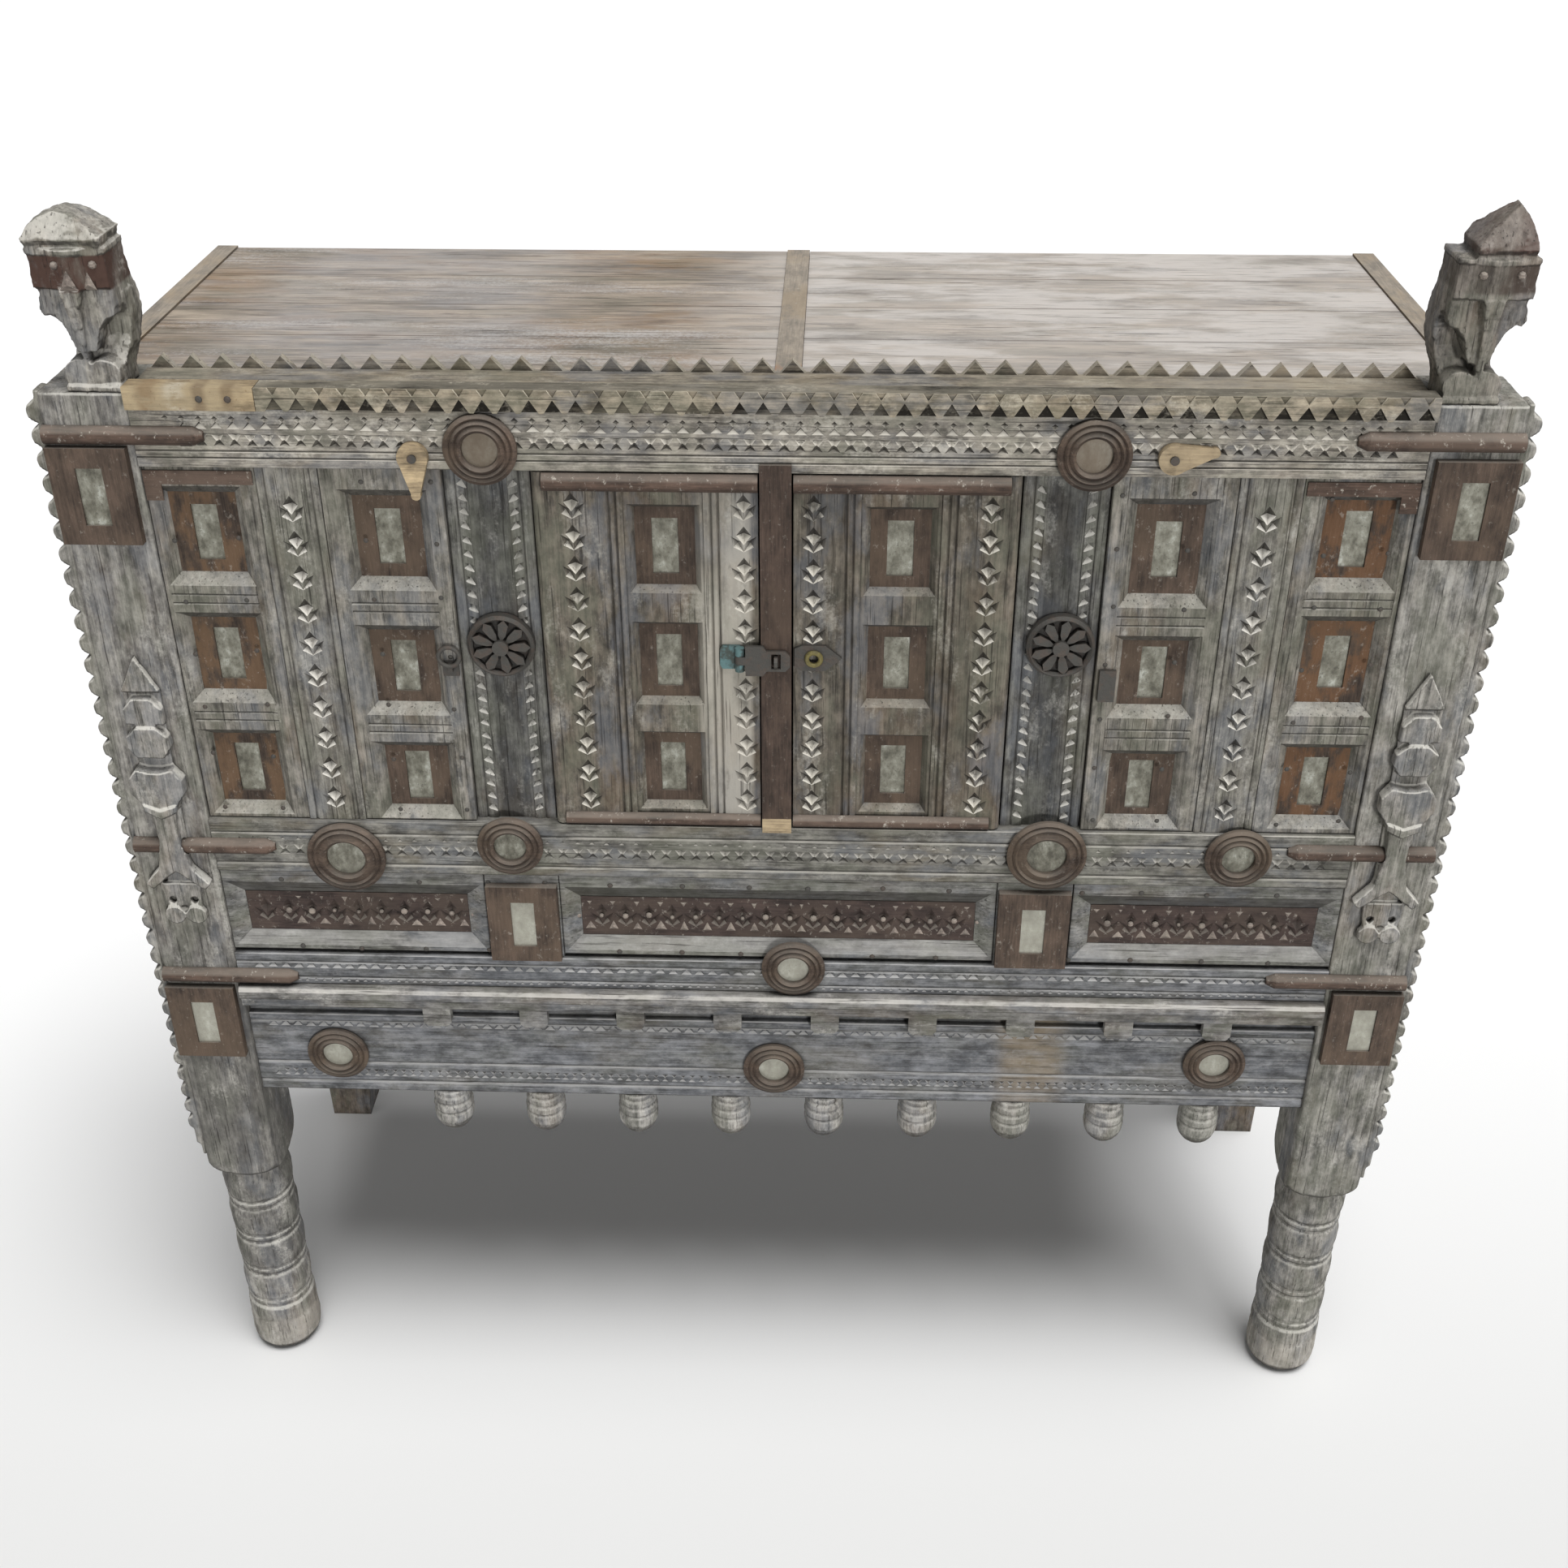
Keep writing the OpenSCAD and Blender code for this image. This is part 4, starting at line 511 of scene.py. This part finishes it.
def welded(name, bevel=0.0, edge=None, raised=0.0):
    """A copy of a node with its facets joined and its long edges broken by bevel mm; the vertices at the
    height edge are carried raised mm further up."""
    body = bmesh.new()
    body.from_mesh(parts[name].data)
    bmesh.ops.remove_doubles(body, verts=body.verts, dist=1e-6)
    for vertex in body.verts:
        if edge is not None and abs(vertex.co.z * 1000 - edge) < 0.5:
            vertex.co.z += raised / 1000
    if bevel:
        bmesh.ops.dissolve_limit(body, angle_limit=math.radians(0.6), verts=body.verts, edges=body.edges)
        long_edges = [e for e in body.edges if len(e.link_faces) == 2 and e.calc_length() > LONG_EDGE
                      and e.calc_face_angle_signed(0) > SHARP]
        bmesh.ops.bevel(body, geom=long_edges, offset=bevel / 1000, segments=2, profile=0.5, affect="EDGES",
                        clamp_overlap=True)
        bmesh.ops.triangulate(body, faces=body.faces)
    copy = bpy.data.objects.new(name + "_worn", bpy.data.meshes.new(name + "_worn"))
    body.to_mesh(copy.data)
    body.free()
    bpy.context.scene.collection.objects.link(copy)
    return copy


def settle(copy, name, smooth):
    """Makes a copy's modifiers final and puts it in its node's place."""
    mesh = bpy.data.meshes.new_from_object(copy.evaluated_get(bpy.context.evaluated_depsgraph_get()))
    copy.modifiers.clear()
    copy.data = mesh
    mesh.materials.clear()
    mesh.materials.append(parts[name].data.materials[0])
    for polygon in mesh.polygons:
        polygon.material_index = 0
        polygon.use_smooth = smooth
    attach(copy, parts[name]["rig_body"])
    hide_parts(name)
    return mesh


def carve(name, *rows, bevel=1.3, edge=None, raised=0.0):
    """Breaks a node's long edges, takes rows of small cuts out of it and gives back the new mesh. Cuts of
    one row must not touch."""
    copy = welded(name, bevel, edge, raised)
    cutters = []
    for row in rows:
        bmesh.ops.recalc_face_normals(row, faces=row.faces)
        cutter = bpy.data.objects.new("cuts", bpy.data.meshes.new("cuts"))
        row.to_mesh(cutter.data)
        row.free()
        bpy.context.scene.collection.objects.link(cutter)
        cutters.append(cutter)
        modifier = copy.modifiers.new("cuts", "BOOLEAN")
        modifier.operation = "DIFFERENCE"
        modifier.solver = "MANIFOLD"
        modifier.object = cutter
    mesh = settle(copy, name, smooth=False)
    for cutter in cutters:
        bpy.data.meshes.remove(cutter.data)
    return mesh


def wear(name, grain, ripple):
    """Rounds a node's edges as years of handling do, and gives its faces the ripple of hand tools."""
    copy = welded(name)
    fine = copy.modifiers.new("fine", "REMESH")
    fine.mode = "VOXEL"
    fine.voxel_size = grain / 1000
    soft = copy.modifiers.new("soft", "SMOOTH")
    soft.factor = 0.5
    soft.iterations = 2
    rough = copy.modifiers.new("rough", "DISPLACE")
    rough.texture = tool_marks
    rough.texture_coords = "LOCAL"
    rough.strength = ripple / 1000
    settle(copy, name, smooth=True)


APRON, LOWER, FRIEZE, MID = (foot(n) for n in ("apron", "lower_rail", "frieze_board", "mid_rail"))
LEDGE = foot("ledge") + LEDGE_TABS
PANELS, TOP_RAIL = foot("chip_strips"), foot("top_rail")

# outlines of the knife cuts, in mm about the middle of each
DOT = [(-3, 0.4), (0, 3.3), (3, 0.4), (0, -2.4)]
TRIANGLE_UP = [(-4.8, -3.2), (4.8, -3.2), (0, 4.2)]
TRIANGLE_DOWN = [(-5, 3.4), (5, 3.4), (0, -4.2)]
DASH = [(-4.8, -2.6), (4.8, -2.6), (3.8, 2.4), (-3.8, 2.4)]
TOOTH = [(-5, -2.8), (5, -2.8), (0, 3.4)]
SPECK = [(-2, -1.6), (2, -1.6), (0, 1.8)]
NICK = [(-2.6, -4), (2.6, -4), (0, 2.6)]
POINT_UP = [(-3.2, -2), (3.2, -2), (0, 2.6)]
POINT_DOWN = [(-3.2, 2), (3.2, 2), (0, -2.4)]


def places(half, pitch, shift=0.0):
    """Places from -half to half mm, a pitch apart, each a little off."""
    count = int(2 * (half - abs(shift)) / pitch)
    return [(i - (count - 1) / 2) * pitch + shift + slip(0.5) for i in range(count)]


def row(half, pitch, shift, y, z, outline, depth, low=(0, 0), waver=0.4):
    """One row of like cuts along a rail, a pitch apart: on its face at y and at height z, depth mm deep, with
    their tips low from their middles, and up to waver mm off the line."""
    cuts = bmesh.new()
    for x in places(half, pitch, shift):
        pit(cuts, (x, y, z + slip(waver)), outline, depth, low)
    return cuts


def carved_rails():
    """Rows of knife cuts along the rails: dots, teeth, zigzags and dashes."""
    carve("top_rail",
          row(RAIL_HALF, 13.4, 0, 0, TOP_RAIL + 41, DOT, 3.2),
          row(RAIL_HALF, 13.4, 6.7, 0, TOP_RAIL + 35.5, TOOTH, 2.4, (0, 1.6)),
          row(RAIL_HALF, 13.4, 6.7, 0, TOP_RAIL + 25, TRIANGLE_DOWN, 3, (0, 1.6)),
          row(RAIL_HALF, 13.4, 0, 0, TOP_RAIL + 21.5, TRIANGLE_UP, 3.4, (0, -1.4)))
    carve("mid_rail",
          row(RAIL_HALF, 13.5, 0, 0, MID + 37.5, SPECK, 1.8, (0, 0.6)),
          row(RAIL_HALF, 13.5, 6.75, 0, MID + 27.5, TRIANGLE_DOWN, 2.6, (0, 1.6)),
          row(RAIL_HALF, 13.5, 0, 0, MID + 23.5, TRIANGLE_UP, 2.4, (0, -1.4)))
    # these nicks lie 4 mm in front of the lower face that they were meant for, and leave the ledge whole
    face = front("ledge")
    carve("ledge", row(RAIL_HALF, 12.4, 0, face, LEDGE + 3, NICK, 3.2, (0, 1)), bevel=1.0)
    carve("lower_rail",
          row(FOOT_HALF, 12.4, 0, 0, LOWER + 22, DASH, 2.4, (0, 1.4)),
          row(FOOT_HALF, 8.0, 0, 0, LOWER + 5.5, SPECK, 1.6, (0, 0.6)))
    face = front("apron")
    carve("apron",
          row(FOOT_HALF, 12.4, 0, face, APRON + 84, DASH, 2.4, (0, 1.4)),
          row(FOOT_HALF, 9.0, 0, face, APRON + 21, POINT_UP, 2, (0, 1)),
          row(FOOT_HALF, 9.0, 4.5, face, APRON + 25, POINT_DOWN, 2, (0, -0.4)), bevel=2)


def carved_jambs():
    """Two cords down each jamb, cut as slanting beads."""
    beads = bmesh.new()
    middle = jamb_middle + 0.5
    for side in (-1, 1):
        for cord, lean in ((-21, -1), (21, 1)):
            for i in range(26):
                pit(beads, (side * middle + cord, front("jambs"), PANELS + 12 + i * 12.5 + slip(0.6)),
                    [(x, z + (lean if x > 0 else -lean) * 1.8)
                     for x, z in ((-4.6, -3.4), (4.6, -3.4), (4.6, 2.6), (-4.6, 2.6))], 3.2, (0, 1.5))
    carve("jambs", beads)


carved_rails()
carved_jambs()
carve("frieze_frames", bevel=1.0, edge=FRIEZE + FRAME_TOP, raised=FRAME_RAISED)  # scribed up to the rail
for name in ("frieze_board", "cornice_shelf", "panel_frames", "chip_strips"):
    carve(name, bevel=1.0)

rails = carve("shell_rails", bevel=1.0)
rails.materials.append(crosswise_timber)
for polygon in rails.polygons:
    polygon.material_index = int(abs(polygon.center.x) > SIDE_RAILS)  # the grain follows each rail

tool_marks = bpy.data.textures.new("tool_marks", "CLOUDS")
tool_marks.noise_scale = 0.011
for name, grain, ripple in (("finial_left", 1.2, 3.0), ("finial_right", 1.2, 3.0), ("appliques", 1.3, 1.2),
                            ("pendants", 1.4, 0.8), ("edge_strips", 2.0, 1.0),
                            ("post_front_left", 2.1, 1.0), ("post_front_right", 2.1, 1.0)):
    wear(name, grain, ripple)

# ---------------------------------------------------------------- small pieces

def piece(name, shape, material):
    """A mesh piece from a bmesh, in place, with the given material, that rides on the case."""
    bmesh.ops.recalc_face_normals(shape, faces=shape.faces)
    mesh = bpy.data.meshes.new(name)
    shape.to_mesh(mesh)
    shape.free()
    mesh.materials.append(material)
    thing = bpy.data.objects.new(name, mesh)
    bpy.context.scene.collection.objects.link(thing)
    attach(thing, "case")


def dome(shape, x, y, z, radius, height, sides=8):
    """A low turned head on a face at y, standing towards the front."""
    rings = []
    for share, rise in ((1.0, -0.2), (0.8, 0.6), (0.4, 0.95)):
        rings.append([shape.verts.new(at(x + radius * share * math.cos(t), y - height * rise,
                                         z + radius * share * math.sin(t)))
                      for t in (2 * math.pi * i / sides for i in range(sides))])
    for lower, upper in zip(rings, rings[1:]):
        for i in range(sides):
            shape.faces.new((lower[i], lower[(i + 1) % sides], upper[(i + 1) % sides], upper[i]))
    shape.faces.new(rings[-1])
    shape.faces.new(rings[0][::-1])


def nails():
    """Hand-forged nail heads that hold the plaques and the frames."""
    heads = bmesh.new()
    face = front("frieze_frames")
    for x in places(490, 61):
        for z in (FRIEZE + 7, FRIEZE + 84):  # below and above the dark panels
            dome(heads, x + slip(6), face, z + slip(1), 2.8, 1.3)
    # set at the face of the frames, so the heads that lie over a window hang up to 10 mm in front of it
    face = front("panel_frames")
    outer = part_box("panel_plaques")[1].x * 1000
    for side in (-1, 1):
        for x in (outer - 5, outer - 60, 282, 340):
            for i in range(7):
                dome(heads, side * x + slip(2), face, PANELS + 12 + i * 52 + slip(4), 2.3, 1.1)
    low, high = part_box("cornice_patch")
    for x in PATCH_NAILS:
        dome(heads, patch_start + x, front("cornice_patch"), (low.z + high.z) * 500, 3.2, 1.2)
    piece("frame_nails", heads, iron)


def tooth(shape, x, y, z, width, height, proud):
    """A small carved tooth on a face at y, its point up (or down where height is negative)."""
    rim = [shape.verts.new(at(x + px * width, y + 0.3, z + pz * height))
           for px, pz in ((-0.5, 0), (0.5, 0), (0.16, 0.72), (0, 1), (-0.16, 0.72))]
    ridge = shape.verts.new(at(x, y - proud, z + height * 0.34))
    shape.faces.new(rim)
    for one, two in zip(rim, rim[1:] + rim[:1]):
        shape.faces.new((two, one, ridge))


def frieze_ornaments():
    """Pale bosses down the middle of the dark frieze panels, pale teeth from their feet and heads."""
    shape = bmesh.new()
    face = front("frieze_panels")
    low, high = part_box("frieze_panels")
    side = high.x * 1000 - 126  # middle of a side panel
    for centre, half in ((0, 200), (-side, 106), (side, 106)):
        for x in places(half, FRIEZE_PITCH):
            dome(shape, centre + x, face, (low.z + high.z) * 500 + slip(1), hand.uniform(1.8, 3.6), 1.8)
            between = centre + x + FRIEZE_PITCH / 2
            tooth(shape, between, face, low.z * 1000 + 6, hand.uniform(9, 13), hand.uniform(8, 12), 2.0)
            tooth(shape, between, face, high.z * 1000 - 5, hand.uniform(4, 8), -hand.uniform(4, 7), 1.4)
    piece("frieze_ornaments", shape, frieze_pale)


def finial_ornaments():
    """Two pale pegs near the top of each finial's dark block, and two pale teeth on the left one."""
    for name in ("finial_left", "finial_right"):
        rim = [v.co for v in parts[name].data.vertices if FINIAL_RIM[0] < v.co.z < FINIAL_RIM[1]]
        x0, x1 = min(v.x for v in rim) * 1000, max(v.x for v in rim) * 1000
        ridge = (min(v.y for v in rim) - FACE) * 1000 + 1
        shape = bmesh.new()

        def face(share):
            """Depth of the block's bent front, at a share of its width from its left."""
            return ridge + 7 * abs(2 * share - 1) - 0.8

        for share in (0.38, 0.84) if name == "finial_left" else (0.3, 0.76):
            dome(shape, x0 + (x1 - x0) * share, face(share), PEGS, 3.4, 2.4)
        if name == "finial_left":
            for share, width in ((0.52, 14), (0.76, 11)):
                tooth(shape, x0 + (x1 - x0) * share, face(share), TEETH, width, width + 2 + slip(1), 2.2)
        piece(name + "_ornaments", shape, frieze_pale)


nails()
frieze_ornaments()
finial_ornaments()

# ---------------------------------------------------------------- room, light and camera

def room():
    """A pale floor, an even white sky that the camera and mirrors see brighter than the wood does, and
    two soft lamps."""
    floor = bpy.data.meshes.new("floor")
    plan = bmesh.new()
    bmesh.ops.create_grid(plan, x_segments=1, y_segments=1, size=30)
    plan.to_mesh(floor)
    plan.free()
    ground = bpy.data.objects.new("floor", floor)
    bpy.context.scene.collection.objects.link(ground)
    material, shader = finish_material("pale_matt_floor")
    far = zone(material, "Y", -900, 900, 1e6, 2e6)  # paler towards the back
    wire(material, tint(material, "#e0e0df", "#fdfdfd", far), shader.inputs["Base Color"])
    shader.inputs["Roughness"].default_value = 0.9
    floor.materials.append(material)

    world = bpy.data.worlds.new("studio")
    bpy.context.scene.world = world
    world.use_nodes = True
    back = world.node_tree.nodes["Background"]
    back.inputs["Color"].default_value = linear("#ffffff")
    seen = add(world, "LightPath")
    rays = [seen.outputs[f"Is {kind} Ray"] for kind in ("Camera", "Glossy", "Transmission")]
    straight = plus(world, *rays)
    wire(world, add(world, "MapRange", {0: straight, 3: 0.11, 4: 1.0}).outputs[0], back.inputs["Strength"])
    for name, strength, spread, turn in (("key", 3.0, 34, (15, 0, 40)), ("fill", 1.45, 9, (85.5, 0, 16))):
        lamp = bpy.data.lights.new(name, "SUN")
        lamp.energy = strength
        lamp.angle = math.radians(spread)
        holder = bpy.data.objects.new(name, lamp)
        holder.rotation_euler = [math.radians(a) for a in turn]
        bpy.context.scene.collection.objects.link(holder)


def camera():
    """The photograph's view, solved from the chest's own edges."""
    ahead = Vector((math.sin(YAW) * math.cos(PITCH), math.cos(YAW) * math.cos(PITCH), -math.sin(PITCH)))
    level = Vector((math.cos(YAW), -math.sin(YAW), 0))
    upright = level.cross(ahead)
    right = math.cos(ROLL) * level + math.sin(ROLL) * upright
    up = -math.sin(ROLL) * level + math.cos(ROLL) * upright
    eye = bpy.data.objects.new("camera", bpy.data.cameras.new("camera"))
    eye.data.lens = LENS
    eye.data.sensor_width = 36
    eye.data.sensor_fit = "HORIZONTAL"
    turn = Matrix((right, up, -ahead)).transposed().to_4x4()
    eye.matrix_world = Matrix.Translation(EYE) @ turn
    bpy.context.scene.collection.objects.link(eye)
    bpy.context.scene.camera = eye


room()
camera()
bpy.context.scene.view_settings.view_transform = "Standard"
